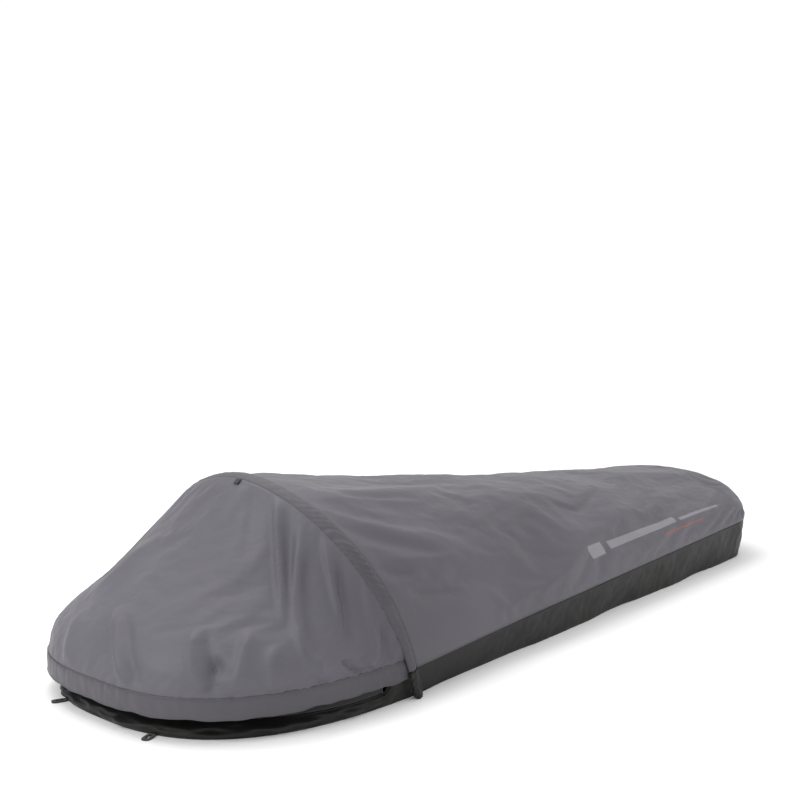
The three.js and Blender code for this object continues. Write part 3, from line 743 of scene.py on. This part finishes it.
canopySet = dict(
    columns=160, rows=200, spare=0.005, frames=16, gravity=0.02, width=1.15, length=1.95,
    sway=0.0011, fine=0.00015,
    calmAside=(0.05, 0.14), calmAlong=(0.16, 0.34),  # flat by the pole's feet, where it slides over the wall
    # start and end as (across, along) in metres on the cut, height, width, crest, lopsided, bend
    folds=[
        ((0.43, 0.00), (0.46, 0.38), 0.007, 0.022, 0.3, 0.3, 0.02),
        ((0.50, 0.02), (0.52, 0.50), -0.006, 0.030, 0.4, 0.0, -0.03),
        ((0.41, 0.03), (0.39, 0.28), 0.004, 0.010, 0.2, 0.4, 0.0),
        ((0.34, 0.01), (0.25, 0.26), 0.007, 0.030, 0.3, 0.4, 0.02),
        ((0.30, 0.02), (0.21, 0.22), -0.006, 0.020, 0.3, 0.0, 0.02),
        ((0.205, 0.01), (0.190, 0.10), -0.007, 0.010, 0.2, 0.3, 0.0),
        ((0.155, 0.06), (0.120, 0.20), -0.007, 0.012, 0.2, 0.3, 0.0),
        ((0.225, 0.05), (0.205, 0.24), 0.006, 0.014, 0.2, -0.3, 0.0),
        ((0.335, 0.66), (0.285, 0.73), -0.004, 0.013, 0.2, 0.4, 0.0),
        ((0.375, 0.88), (0.285, 0.72), -0.003, 0.014, 0.2, -0.4, 0.0),
        ((0.42, 0.42), (0.40, 1.00), 0.006, 0.045, 0.5, 0.2, 0.02),
        ((0.50, 1.00), (0.46, 1.42), 0.008, 0.040, 0.4, 0.3, 0.0),
        ((0.42, 1.12), (0.30, 1.48), -0.006, 0.035, 0.4, 0.0, 0.0),
        ((0.10, 0.03), (0.20, 0.60), -0.008, 0.050, 0.5, 0.0, 0.03),
        ((0.18, 0.50), (0.26, 1.00), 0.005, 0.050, 0.5, 0.0, 0.0),
        ((0.05, 0.30), (0.09, 0.62), 0.004, 0.020, 0.3, 0.2, 0.0),
        ((0.66, 0.02), (0.74, 0.40), 0.006, 0.030, 0.3, 0.2, 0.02),
        ((0.80, 0.02), (0.90, 0.34), -0.006, 0.022, 0.3, 0.2, 0.02),
        ((0.95, 0.04), (0.98, 0.22), 0.005, 0.014, 0.2, 0.2, 0.0),
        ((0.72, 0.60), (0.84, 1.10), -0.006, 0.040, 0.4, 0.2, 0.02),
        ((0.88, 0.90), (0.80, 1.30), 0.005, 0.030, 0.4, 0.2, 0.02),
        ((0.40, 1.90), (0.46, 1.60), 0.005, 0.020, 0.3, 0.0, 0.0),
        ((0.62, 1.88), (0.60, 1.62), -0.005, 0.020, 0.3, 0.0, 0.0),
    ],
)


def canopyGrid():
    u, v = grid(canopySet["columns"], canopySet["rows"])
    points = canopyPlace(u, v)
    a, b = u * canopySet["width"], v * canopySet["length"]
    aside = np.minimum(u, 1 - u)
    calm = (1 - eased(*canopySet["calmAside"], aside)) * (1 - eased(*canopySet["calmAlong"], b))
    inner = eased(0, 0.05, aside) * eased(0, 0.03, v) * (1 - eased(0.96, 1, v)) * (1 - calm)
    lift = folds(a, b, canopySet["folds"])
    sway = canopySet["sway"] * ripple(a * 1.3, b * 0.6, 14, 0.14, 0.50, 3)
    lift += sway + canopySet["fine"] * ripple(a, b, 14, 0.05, 0.09, 5)
    points = pushedOut(points, -lift * inner)
    pins = 1 - eased(0, 0.02, aside) * eased(0, 0.012, v) * (1 - eased(0.985, 1, v))
    pins = np.maximum(pins, calm)
    return settled("canopy", inRow(points), pins, canopySet)


canopyPoints = canopyGrid()
canopy = clothPiece("canopy_sheet", canopyPoints, canopyCloth, (canopySet["width"], canopySet["length"]))
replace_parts(canopy, "canopy")
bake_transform(canopy)
print("canopy", len(canopy.data.vertices), "points, area", round(areaOf(canopy), 3))

# the hood, from the sleeve down to its hem and in under the flap to the zip

hoodSet = dict(
    columns=190, rows=120, skirt=0.90, spare=0.008, frames=16, gravity=0.02, width=1.35, length=0.62,
    sway=0.0008, fine=0.00015, pucker=0.0011, puckerFade=26,
    folds=[
        ((0.510, 0.005), (0.350, 0.300), 0.021, 0.022, 0.08, 0.70, 0.02),
        ((0.472, 0.010), (0.315, 0.330), -0.015, 0.020, 0.3, -0.2, 0.02),
        ((0.410, 0.050), (0.240, 0.500), 0.013, 0.015, 0.12, 0.5, -0.02),
        ((0.380, 0.060), (0.230, 0.430), -0.009, 0.018, 0.3, 0.0, -0.02),
        ((0.350, 0.015), (0.220, 0.270), 0.012, 0.013, 0.12, 0.5, 0.02),
        ((0.290, 0.030), (0.170, 0.360), -0.008, 0.014, 0.3, 0.0, 0.0),
        ((0.210, 0.010), (0.090, 0.430), 0.007, 0.014, 0.2, 0.3, 0.02),
        ((0.120, 0.080), (0.050, 0.420), -0.005, 0.012, 0.2, 0.2, 0.0),
        ((0.700, 0.395), (0.575, 0.556), 0.015, 0.016, 0.15, 0.5, 0.05),
        ((0.655, 0.400), (0.540, 0.552), -0.011, 0.015, 0.2, 0.0, 0.03),
        ((0.495, 0.390), (0.432, 0.520), 0.013, 0.012, 0.15, 0.5, -0.04),
        ((0.470, 0.385), (0.405, 0.500), -0.010, 0.012, 0.2, 0.0, 0.0),
        ((0.400, 0.360), (0.378, 0.545), 0.013, 0.012, 0.15, 0.5, 0.03),
        ((0.425, 0.440), (0.415, 0.550), -0.010, 0.010, 0.2, 0.3, 0.0),
        ((0.340, 0.400), (0.310, 0.550), 0.009, 0.011, 0.15, 0.3, 0.0),
        ((0.250, 0.420), (0.215, 0.545), 0.009, 0.010, 0.15, 0.3, 0.0),
        ((0.190, 0.430), (0.130, 0.540), -0.009, 0.010, 0.15, 0.3, 0.0),
        ((0.135, 0.420), (0.080, 0.540), 0.005, 0.010, 0.2, 0.3, 0.0),
        ((0.585, 0.000), (0.500, 0.150), -0.005, 0.022, 0.4, 0.3, 0.0),
        ((0.625, 0.010), (0.600, 0.120), 0.004, 0.018, 0.4, 0.3, 0.0),
        ((0.830, 0.380), (0.815, 0.180), 0.006, 0.022, 0.3, 0.3, 0.02),
        ((0.900, 0.060), (0.960, 0.400), -0.007, 0.020, 0.3, 0.0, 0.02),
        ((1.020, 0.040), (1.080, 0.420), 0.008, 0.018, 0.2, 0.3, 0.02),
        ((1.120, 0.030), (1.180, 0.420), -0.006, 0.016, 0.2, 0.3, 0.0),
        ((1.200, 0.060), (1.260, 0.440), 0.006, 0.014, 0.2, 0.3, 0.0),
        ((0.800, 0.420), (0.760, 0.550), 0.007, 0.014, 0.2, 0.3, 0.0),
        ((0.930, 0.430), (0.900, 0.550), -0.006, 0.012, 0.2, 0.3, 0.0),
    ],
)


def hemPucker(across, level):
    near = np.exp(-np.abs(level) * hoodSet["puckerFade"])
    return hoodSet["pucker"] * ripple(across, level * 0.4, 14, 0.014, 0.06, 23) * near


def hoodGrid():
    u, v = grid(hoodSet["columns"], hoodSet["rows"])
    points = hoodPlace(u, v, hoodSet["skirt"])
    a, b = u * hoodSet["width"], v * hoodSet["length"]
    inner = eased(0, 0.04, u) * (1 - eased(0.96, 1, u)) * eased(0, 0.04, v) * (1 - eased(0.86, 0.90, v))
    lift = folds(a, b, hoodSet["folds"])
    sway = hoodSet["sway"] * ripple(a * 1.2, b * 0.6, 14, 0.14, 0.40, 13)
    lift += sway + hoodSet["fine"] * ripple(a, b, 14, 0.05, 0.08, 15)
    lift = lift * inner + hemPucker(a, hoodSet["skirt"] * hoodSet["length"] - b)
    points = pushedOut(points, lift)
    pins = 1 - eased(0, 0.02, u) * (1 - eased(0.98, 1, u)) * eased(0, 0.02, v) * (1 - eased(0.87, 0.90, v))
    return settled("hood", inRow(points), pins, hoodSet)


hoodPoints = hoodGrid()
hood = clothPiece("hood_sheet", hoodPoints, hoodCloth, (hoodSet["width"], hoodSet["length"]))
standFor(hood, "hood_panel", "hood")
print("hood", len(hood.data.vertices), "points, area", round(areaOf(hood), 3))


flapSet = dict(columns=300, rows=20, seam=0.0006, lap=0.002, sway=0.0010, wander=0.0012)


def flapGrid():
    end = angleAt(head["flapEnd"], skinAtHoop)
    u, level = grid(flapSet["columns"], flapSet["rows"])
    angle = between(end, -end, u)
    drop, lap, seam = head["flapDrop"], flapSet["lap"], flapSet["seam"]
    off = seam + (head["flapStandOff"] - seam) * eased(0, 0.30, level)
    hem = hemPlace(angle)
    a = u * hoodSet["width"]
    sway = flapSet["sway"] * ripple(a, level * 0.02, 12, 0.03, 0.16, 27) * level
    off = off + hemPucker(a, level * drop) + sway
    wander = flapSet["wander"] * ripple(a, 0, 8, 0.05, 0.2, 29) * level
    z = head["hemHeight"] + lap - (drop + lap) * level + wander
    return inRow(stacked(hem[..., 0] - np.cos(angle) * off, hem[..., 1] - np.sin(angle) * off, z))


flapPoints = flapGrid()
flap = clothPiece("storm_flap_sheet", flapPoints, flapClothPaintedShade)
standFor(flap, "storm_flap", "hood")
print("flap area", round(areaOf(flap), 3))

# the sleeve, a flat band round the pole

sleeveSet = dict(
    width=0.036, over=0.0052, under=0.0050, edge=0.0012, sides=36, steps=300, gather=0.0020,
    gatherPitch=0.0195, crumple=0.00045,
    right=(0.24, 0.15), left=(0.30, 0.22),  # where each side's gathers are, and how far they reach
)


def hoopLine(steps):
    turn = np.linspace(0, math.pi, 2000)
    y = -(skinAtHoop + hoop["standOff"]) * signedPower(np.cos(turn), 2 / sack["acrossAtHoop"])
    w = between(wallInPlane, archTop + hoop["standOff"], np.abs(np.sin(turn)) ** (2 / sack["upAtHoop"]))
    along = np.concatenate([[0], np.cumsum(np.hypot(np.diff(y), np.diff(w)))])
    even = np.linspace(0, along[-1], steps + 1)
    return even, np.interp(even, along, y), np.interp(even, along, w)


def leaned(points):
    turned = points.copy()
    turned[..., 0] = points[..., 0] * leanCos - points[..., 2] * leanSin
    turned[..., 2] = points[..., 0] * leanSin + points[..., 2] * leanCos
    return inRow(turned)


def sleeveGrid():
    along, y, w = hoopLine(sleeveSet["steps"])
    tangent = np.stack([np.gradient(y), np.gradient(w)], axis=-1)
    tangent = tangent / lengthOf(tangent)
    around = np.linspace(0, 2 * math.pi, sleeveSet["sides"], endpoint=False)[None, :]
    share = np.clip((w - wallInPlane) / (archTop - wallInPlane), 0, 1)
    halfWide = sleeveSet["width"] / 2 * hoopEdge(share) / hoop["edge"]
    wide = halfWide[:, None] * np.cos(around)
    hump = np.clip(np.abs(np.sin(around)), 0, 1) ** 1.5
    height = np.where(np.sin(around) > 0, sleeveSet["over"], -sleeveSet["under"]) * hump
    height = height + sleeveSet["edge"] / 2 * np.sign(np.sin(around))
    a = np.broadcast_to(along[:, None], wide.shape)
    (right, rightReach), (left, leftReach) = sleeveSet["right"], sleeveSet["left"]
    low = np.exp(-((along - right) / rightReach) ** 2)
    low = low + 0.8 * np.exp(-((along[-1] - along - left) / leftReach) ** 2)
    slant = (a + wide * 1.1) * 2 * math.pi / sleeveSet["gatherPitch"]
    slant = slant + 1.8 * ripple(a, wide, 6, 0.04, 0.12, 31)
    gather = sleeveSet["gather"] * np.sin(slant) * low[:, None]
    gather += sleeveSet["crumple"] * ripple(a, wide * 2, 12, 0.02, 0.07, 33)
    height = height + gather * (0.35 + 0.65 * hump)
    wide = wide * (1 + 0.02 * ripple(a, 0, 8, 0.03, 0.15, 35))
    points = stacked(wide, y[:, None] - tangent[:, 1:] * height, w[:, None] + tangent[:, :1] * height)
    return leaned(points)


sleevePoints = sleeveGrid()
sleeve = clothPiece("pole_sleeve_sheet", sleevePoints, sleeveCloth, thickness=0.0007, around=True)
standFor(sleeve, "pole_sleeve", "hood")
print("sleeve area", round(areaOf(sleeve), 3))

# the tub, four walls and a floor

wallSet = dict(
    columns=220, footColumns=120, rows=18, wrinkle=0.0022, footWrinkle=0.0028,
    side=(0.0003, 0.419), foot=(0.421, 0.579),  # shares of the tub's edge, from right pole foot to left
)


def wrinkledWall(points, seed, size, inner):
    rows, columns = points.shape[:2]
    along = np.concatenate([[0], np.cumsum(lengthOf(np.diff(points[rows // 2], axis=0))[:, 0])])[None, :]
    up = np.linspace(0, 0.1, rows)[:, None]
    lift = size * ripple(along * 0.8, up * 1.3, 12, 0.05, 0.22, seed)
    lift += size * 0.35 * ripple(along, up, 12, 0.02, 0.05, seed + 1)
    return points + normalsOf(points) * (lift * inner)[..., None]


def sideWall(name, side):
    u, v = grid(wallSet["columns"], wallSet["rows"])
    share = between(*wallSet["side"], u)
    points = tubEdge(share if side < 0 else 1 - share, v)
    inner = (1 - eased(0.80, 1, v)) * eased(0.02, 0.26, u) * (0.35 + 0.65 * eased(0, 0.2, v))
    points = wrinkledWall(points, 41 if side < 0 else 47, wallSet["wrinkle"], inner)
    points[..., 2] = np.maximum(points[..., 2], sack["ground"])
    piece = clothPiece(name, inRow(points if side < 0 else points[:, ::-1]), tubCloth)
    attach(piece, "tub")
    return piece


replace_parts(sideWall("side_wall_right_sheet", -1), "side_wall_right")
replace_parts(sideWall("side_wall_left_sheet", 1), "side_wall_left")

u, v = grid(wallSet["footColumns"], wallSet["rows"])
footPoints = tubEdge(between(*wallSet["foot"], u), v)
inner = (1 - eased(0.80, 1, v)) * (0.35 + 0.65 * eased(0, 0.2, v))
footPoints = wrinkledWall(footPoints, 53, wallSet["footWrinkle"], inner)
footWall = clothPiece("foot_wall_sheet", inRow(footPoints), tubCloth)
standFor(footWall, "foot_wall", "tub")

# the rim rolls outward under the zip, most of all on the left
rimSet = dict(columns=320, rows=16, end=-0.001, roll=0.009, puff=0.010, puffAngle=-0.85, puffSpan=0.45)
u, v = grid(rimSet["columns"], rimSet["rows"])
wallEnd = angleAt(rimSet["end"], sack["halfAtHoop"])
angle = between(wallEnd, -wallEnd, u)
rim = rimSet["roll"] * np.sin(math.pi * np.clip(v * 1.15, 0, 1) ** 0.8)
rim *= eased(0, 0.06, u) * (1 - eased(0.94, 1, u))
puff = np.exp(-((angle - rimSet["puffAngle"]) / rimSet["puffSpan"]) ** 2)
rim += rimSet["puff"] * puff * np.sin(math.pi * v ** 0.6)
rim *= 1 + 0.5 * ripple(u * 1.4, v * 0.2, 10, 0.05, 0.25, 61)
headPoints = headWallPlace(angle, v) + stacked(-np.cos(angle), -np.sin(angle), 0) * rim[..., None]
headWall = clothPiece("head_wall_sheet", inRow(headPoints), tubCloth)
standFor(headWall, "head_wall", "tub")


floorSet = dict(columns=90, rows=150, inset=0.0010, headPart=0.3, footPart=0.8, height=0.0008, wrinkle=0.0012)


def floorGrid():
    inset = floorSet["inset"]
    half = sack["halfAtHoop"] - sack["wallTuck"] - inset
    u, v = grid(floorSet["columns"], floorSet["rows"])
    across = np.sin((u - 0.5) * math.pi)
    headPart, footPart = floorSet["headPart"], floorSet["footPart"]
    inHead = v < headPart
    inFoot = v > footPart
    p, e, radius = footDisc(across, np.where(inHead, np.sin((1 - v / headPart) * math.pi / 2), 0))
    size = np.maximum(radius, 1e-9)
    power = head["floorRoundness"]
    edge = (np.abs(p / size) ** power + np.abs(e / size) ** power + 1e-12) ** (-1 / power)
    headX, headY = -(head["floorReach"] - inset) * e * edge, half * p * edge
    x = straight * np.clip((v - headPart) / (footPart - headPart), 0, 1)
    drawnIn = sack["wallTuck"] + inset + edgeWave(x, np.sign(across))
    y = (halfWidth(x, sack["halfAtHoop"], sack["halfAtFoot"]) - drawnIn) * across
    along = np.where(inFoot, np.sin((v - footPart) / (1 - footPart) * math.pi / 2), 0)
    planP, planE = footPlan(*footDisc(across, along), 1)
    x = np.where(inHead, headX, x + (sack["footRounding"] - sack["footTuck"] - inset) * planE)
    y = np.where(inHead, headY, np.where(inFoot, (sack["halfAtFoot"] - drawnIn) * planP, y))
    wrinkle = floorSet["wrinkle"] * (1 + ripple(x, y, 12, 0.06, 0.3, 71)).clip(0, 3)
    wrinkle = wrinkle * eased(0, 0.05, u) * (1 - eased(0.95, 1, u))
    z = floorSet["height"] + sack["footLift"] * planE ** 2 + wrinkle
    return inRow(stacked(x, y, z))


floorSheet = clothPiece("floor_sheet", floorGrid(), floorCloth)
standFor(floorSheet, "floor_panel", "tub")
print("tub made, floor area", round(areaOf(floorSheet), 3))

# the two halves of the zip

zipSet = dict(
    steps=300, tape=6, lowerTape=(0.0300, 0.0480), upperTape=(0.0570, 0.0700), lowerCoil=(0.0483, 0.0513),
    upperCoil=(0.0537, 0.0567), tooth=0.0022, reach=0.0013, twist=0.0004, ring=10,
    wire=((-0.00035, 0.0), (0.00035, 0.0), (0.0, -0.00055)),
)


def zipTape(name, low, high):
    u, v = grid(zipSet["steps"], zipSet["tape"])
    angle = between(zipLine["halfAngle"], -zipLine["halfAngle"], u)
    piece = clothPiece(name, inRow(stacked(*zipPoint(angle), between(low, high, v))), zipCloth)
    return piece


# a coil's teeth: one rounded loop after another, each reaching towards the other side of the zip
def zipCoil(name, low, high):
    count = int(2 * zipLine["halfAngle"] * zipLine["radius"] / zipSet["tooth"])
    ring, wire = zipSet["ring"], zipSet["wire"]
    points, faces = [], []
    for tooth in range(count):
        angle = between(-zipLine["halfAngle"], zipLine["halfAngle"], (tooth + 0.5) / count)
        out = np.array([-math.cos(angle), -math.sin(angle), 0])
        along = np.array([math.sin(angle), -math.cos(angle), 0])
        centre = np.array([zipCentreX, 0, 0]) + out * zipLine["radius"]
        base = len(points)
        for k in range(ring):
            turn = k * 2 * math.pi / ring
            z = between(low, high, 0.5 + 0.5 * math.sin(turn))
            middle = centre + out * zipSet["reach"] * math.cos(turn) + np.array([0, 0, z])
            middle = middle + along * zipSet["twist"] * math.cos(turn)
            inward = np.array([0, 0, 1]) * math.sin(turn) + out * math.cos(turn)
            points += [middle + along * side + inward * depth for side, depth in wire]
        for k in range(ring):
            here, ahead = base + k * 3, base + (k + 1) % ring * 3
            for side in range(3):
                after = (side + 1) % 3
                faces.append((here + side, here + after, ahead + after, ahead + side))
    piece = emptyPiece(name, inRow(np.array(points)), faces, coilPlastic)
    return piece


lowerTape = zipTape("lower_zip_tape_sheet", *zipSet["lowerTape"])
upperTape = zipTape("upper_zip_tape_sheet", *zipSet["upperTape"])
lowerCoil = zipCoil("lower_zip_teeth", *zipSet["lowerCoil"])
upperCoil = zipCoil("upper_zip_teeth", *zipSet["upperCoil"])
for piece, body, node in (
    (lowerTape, "tub", "lower_zip_tape"), (upperTape, "hood", "upper_zip_tape"),
    (lowerCoil, "tub", "lower_zip_coil"), (upperCoil, "hood", "upper_zip_coil"),
):
    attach(piece, body)
    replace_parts(piece, node)
print("zip made")

# the black pockets that take the pole's feet

pocketSet = dict(half=0.0113, topHalf=0.0118, thick=0.011, crumple=0.0016, rows=30, sides=36, floorGap=0.0012,
                 topGap=0.0023, bottomHalf=0.0008)


def pocket(word, side):
    half, foot, top = pocketSet["half"], sack["axisHeight"], wallInPlane - pocketSet["topGap"]
    w = np.linspace(foot - half + pocketSet["floorGap"], top, pocketSet["rows"])
    rounded = half * np.sqrt(1 - np.clip((foot - w) / half, 0, 1) ** 2) + pocketSet["bottomHalf"]
    widening = between(half, pocketSet["topHalf"], (w - foot) / (top - foot))
    wide = np.where(w < foot, rounded, widening)[:, None]
    around = np.linspace(0, 2 * math.pi, pocketSet["sides"], endpoint=False)[None, :]
    crumple = pocketSet["crumple"] * ripple(around * 0.012, w[:, None], 10, 0.010, 0.03, 81 + side)
    x = wide * signedPower(np.cos(around), 0.8) * (1 + crumple / 0.012)
    deep = pocketSet["thick"] / 2 * signedPower(np.sin(around), 0.9) * (1 + crumple / 0.006)
    points = leaned(stacked(x, side * (skinAtHoop + hoop["standOff"]) + deep, w[:, None]))
    piece = clothPiece(f"pole_pocket_{word}_sheet", points, tubCloth, thickness=0.0008, around=True)
    standFor(piece, f"pole_pocket_{word}", "hood")


pocket("right", -1)
pocket("left", 1)

loopSet = dict(width=0.020, length=0.034, strap=0.0085, thick=0.0030, corners=72, squareness=0.6,
               ridges=((0.0, 0.0), (0.12, 0.00018), (0.5, 0.0001), (0.88, 0.00018), (1.0, 0.0)))


# a strap folded into a loop: an oblong ring of webbing with a woven ridge along each edge
def pegLoop(name):
    low, high = (np.array(corner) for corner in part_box(name))
    middle = (low + high) / 2
    spread = np.array([vertex.co[:] for vertex in nodes[name].data.vertices])[:, :2] - middle[:2]
    axis = np.linalg.svd(spread - spread.mean(0), full_matrices=False)[2][0]
    if axis @ (middle[:2] - np.array([hoopFootX, 0])) < 0:
        axis = -axis
    across = np.array([-axis[1], axis[0]])
    count, square = loopSet["corners"], loopSet["squareness"]
    turns = np.linspace(0, 2 * math.pi, count, endpoint=False)
    outline = np.stack([loopSet["length"] / 2 * signedPower(np.cos(turns), square),
                        loopSet["width"] / 2 * signedPower(np.sin(turns), square)], -1)
    inner = outline * (1 - loopSet["strap"] / np.maximum(lengthOf(outline), 1e-6))
    top = [(between(outline, inner, share), loopSet["thick"] / 2 + rise) for share, rise in loopSet["ridges"]]
    rings = top + [(band, -z) for band, z in top[::-1]]
    points = []
    for band, z in rings:
        flat = middle[:2] + band[:, :1] * axis + band[:, 1:] * across
        points.append(np.column_stack([flat, np.full(count, middle[2] + z)]))
    index = np.arange(len(rings) * count).reshape(len(rings), count)
    ahead, under = np.roll(index, -1, axis=1), np.roll(index, -1, axis=0)
    faces = np.stack([index, ahead, np.roll(ahead, -1, axis=0), under], axis=-1).reshape(-1, 4)
    piece = emptyPiece(name + "_strap", np.concatenate(points), faces, webbing)
    standFor(piece, name, "tub")


for word in ("right", "left"):
    pegLoop(f"peg_loop_{word}")


tabSet = dict(columns=(90, 94), rows=(0, 4), lift=0.0022, thick=0.0016)


# hangs from the sleeve's edge and lies on the hood
def peakTab():
    (first, last), (top, bottom) = tabSet["columns"], tabSet["rows"]
    patch = pushedOut(hoodPoints, np.full(hoodPoints.shape[:2], tabSet["lift"]))[top:bottom, first:last]
    piece = clothPiece("peak_tab_strap", patch, webbing, thickness=tabSet["thick"])
    standFor(piece, "peak_tab", "hood")


peakTab()
print("pockets, loops and tab made")

# stitches along the seams

flapStitches = stitchRow("storm_flap_stitches", [seamLine(flapPoints, row=row) for row in (1, 2, -2)])
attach(flapStitches, "hood")
sleeveSides = (3, sleeveSet["sides"] // 2 - 3)
sleeveStitches = stitchRow("pole_sleeve_stitches", [sleevePoints[4:-4, side] for side in sleeveSides])
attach(sleeveStitches, "hood")
canopyStitches = stitchRow("canopy_seam_stitches", [
    seamLine(canopyPoints, column=1), seamLine(canopyPoints, column=-2), seamLine(canopyPoints, row=-2),
])
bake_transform(canopyStitches)
print("stitched")

# the studio, a white floor under soft light

studio = dict(
    floorHalf=20.0, floorShades=("#fdfdfd", "#ffffff"), floorRough=0.9, air=1.04,
    overhead=dict(place=(-0.2, 0.9, 2.6), aim=(0, 0, 0.1), size=(3.0, 1.6), power=32),
    headSide=dict(place=(-3.4, 0.6, 2.2), aim=(-0.6, 0, 0.2), size=(1.4, 1.2), power=31),
)


def studioFloor():
    half = studio["floorHalf"]
    corners = [(-half, -half, 0), (half, -half, 0), (half, half, 0), (-half, half, 0)]
    finish = Finish("studioFloor")
    dark, light = (shade(value) for value in studio["floorShades"])
    colour = finish.blended(finish.noise(finish.place(), 3.0), dark, light)
    material = finish.done(Base_Color=colour, Roughness=studio["floorRough"])
    emptyPiece("studioFloor", corners, [(0, 1, 2, 3)], material, smooth=False)


def softLight(name, place, aim, size, power):
    lamp = bpy.data.lights.new(name, "AREA")
    lamp.shape = "RECTANGLE"
    lamp.size, lamp.size_y = size
    lamp.energy = power
    light = bpy.data.objects.new(name, lamp)
    light.location = place
    light.rotation_euler = (Vector(aim) - Vector(place)).to_track_quat("-Z", "Y").to_euler()
    bpy.context.scene.collection.objects.link(light)


def studioAir(strength):
    world = bpy.data.worlds.new("studioAir")
    world.use_nodes = True
    background = world.node_tree.nodes["Background"].inputs
    background["Color"].default_value = (1, 1, 1, 1)
    background["Strength"].default_value = strength
    bpy.context.scene.world = world


bpy.context.scene.view_settings.view_transform = "Standard"
studioFloor()
softLight("overhead", **studio["overhead"])
softLight("headSide", **studio["headSide"])
studioAir(studio["air"])

cameraSet = dict(azimuth=-49.184, elevation=8.202, aim=(1.5238, 1.3285, 0.15), distance=5.3589,
                 lens=56.394, sensor=36, shift=(-0.0746, 0.0543))


def placeCamera():
    azimuth, elevation = math.radians(cameraSet["azimuth"]), math.radians(cameraSet["elevation"])
    level = math.cos(elevation)
    back = Vector((math.sin(azimuth) * level, -math.cos(azimuth) * level, math.sin(elevation)))
    lens = bpy.data.cameras.new("camera")
    lens.lens = cameraSet["lens"]
    lens.sensor_width = cameraSet["sensor"]
    lens.shift_x, lens.shift_y = cameraSet["shift"]
    camera = bpy.data.objects.new("camera", lens)
    camera.location = Vector(cameraSet["aim"]) + back * cameraSet["distance"]
    camera.rotation_euler = (-back).to_track_quat("-Z", "Y").to_euler()
    bpy.context.scene.collection.objects.link(camera)
    bpy.context.scene.camera = camera


placeCamera()
print("studio ready")
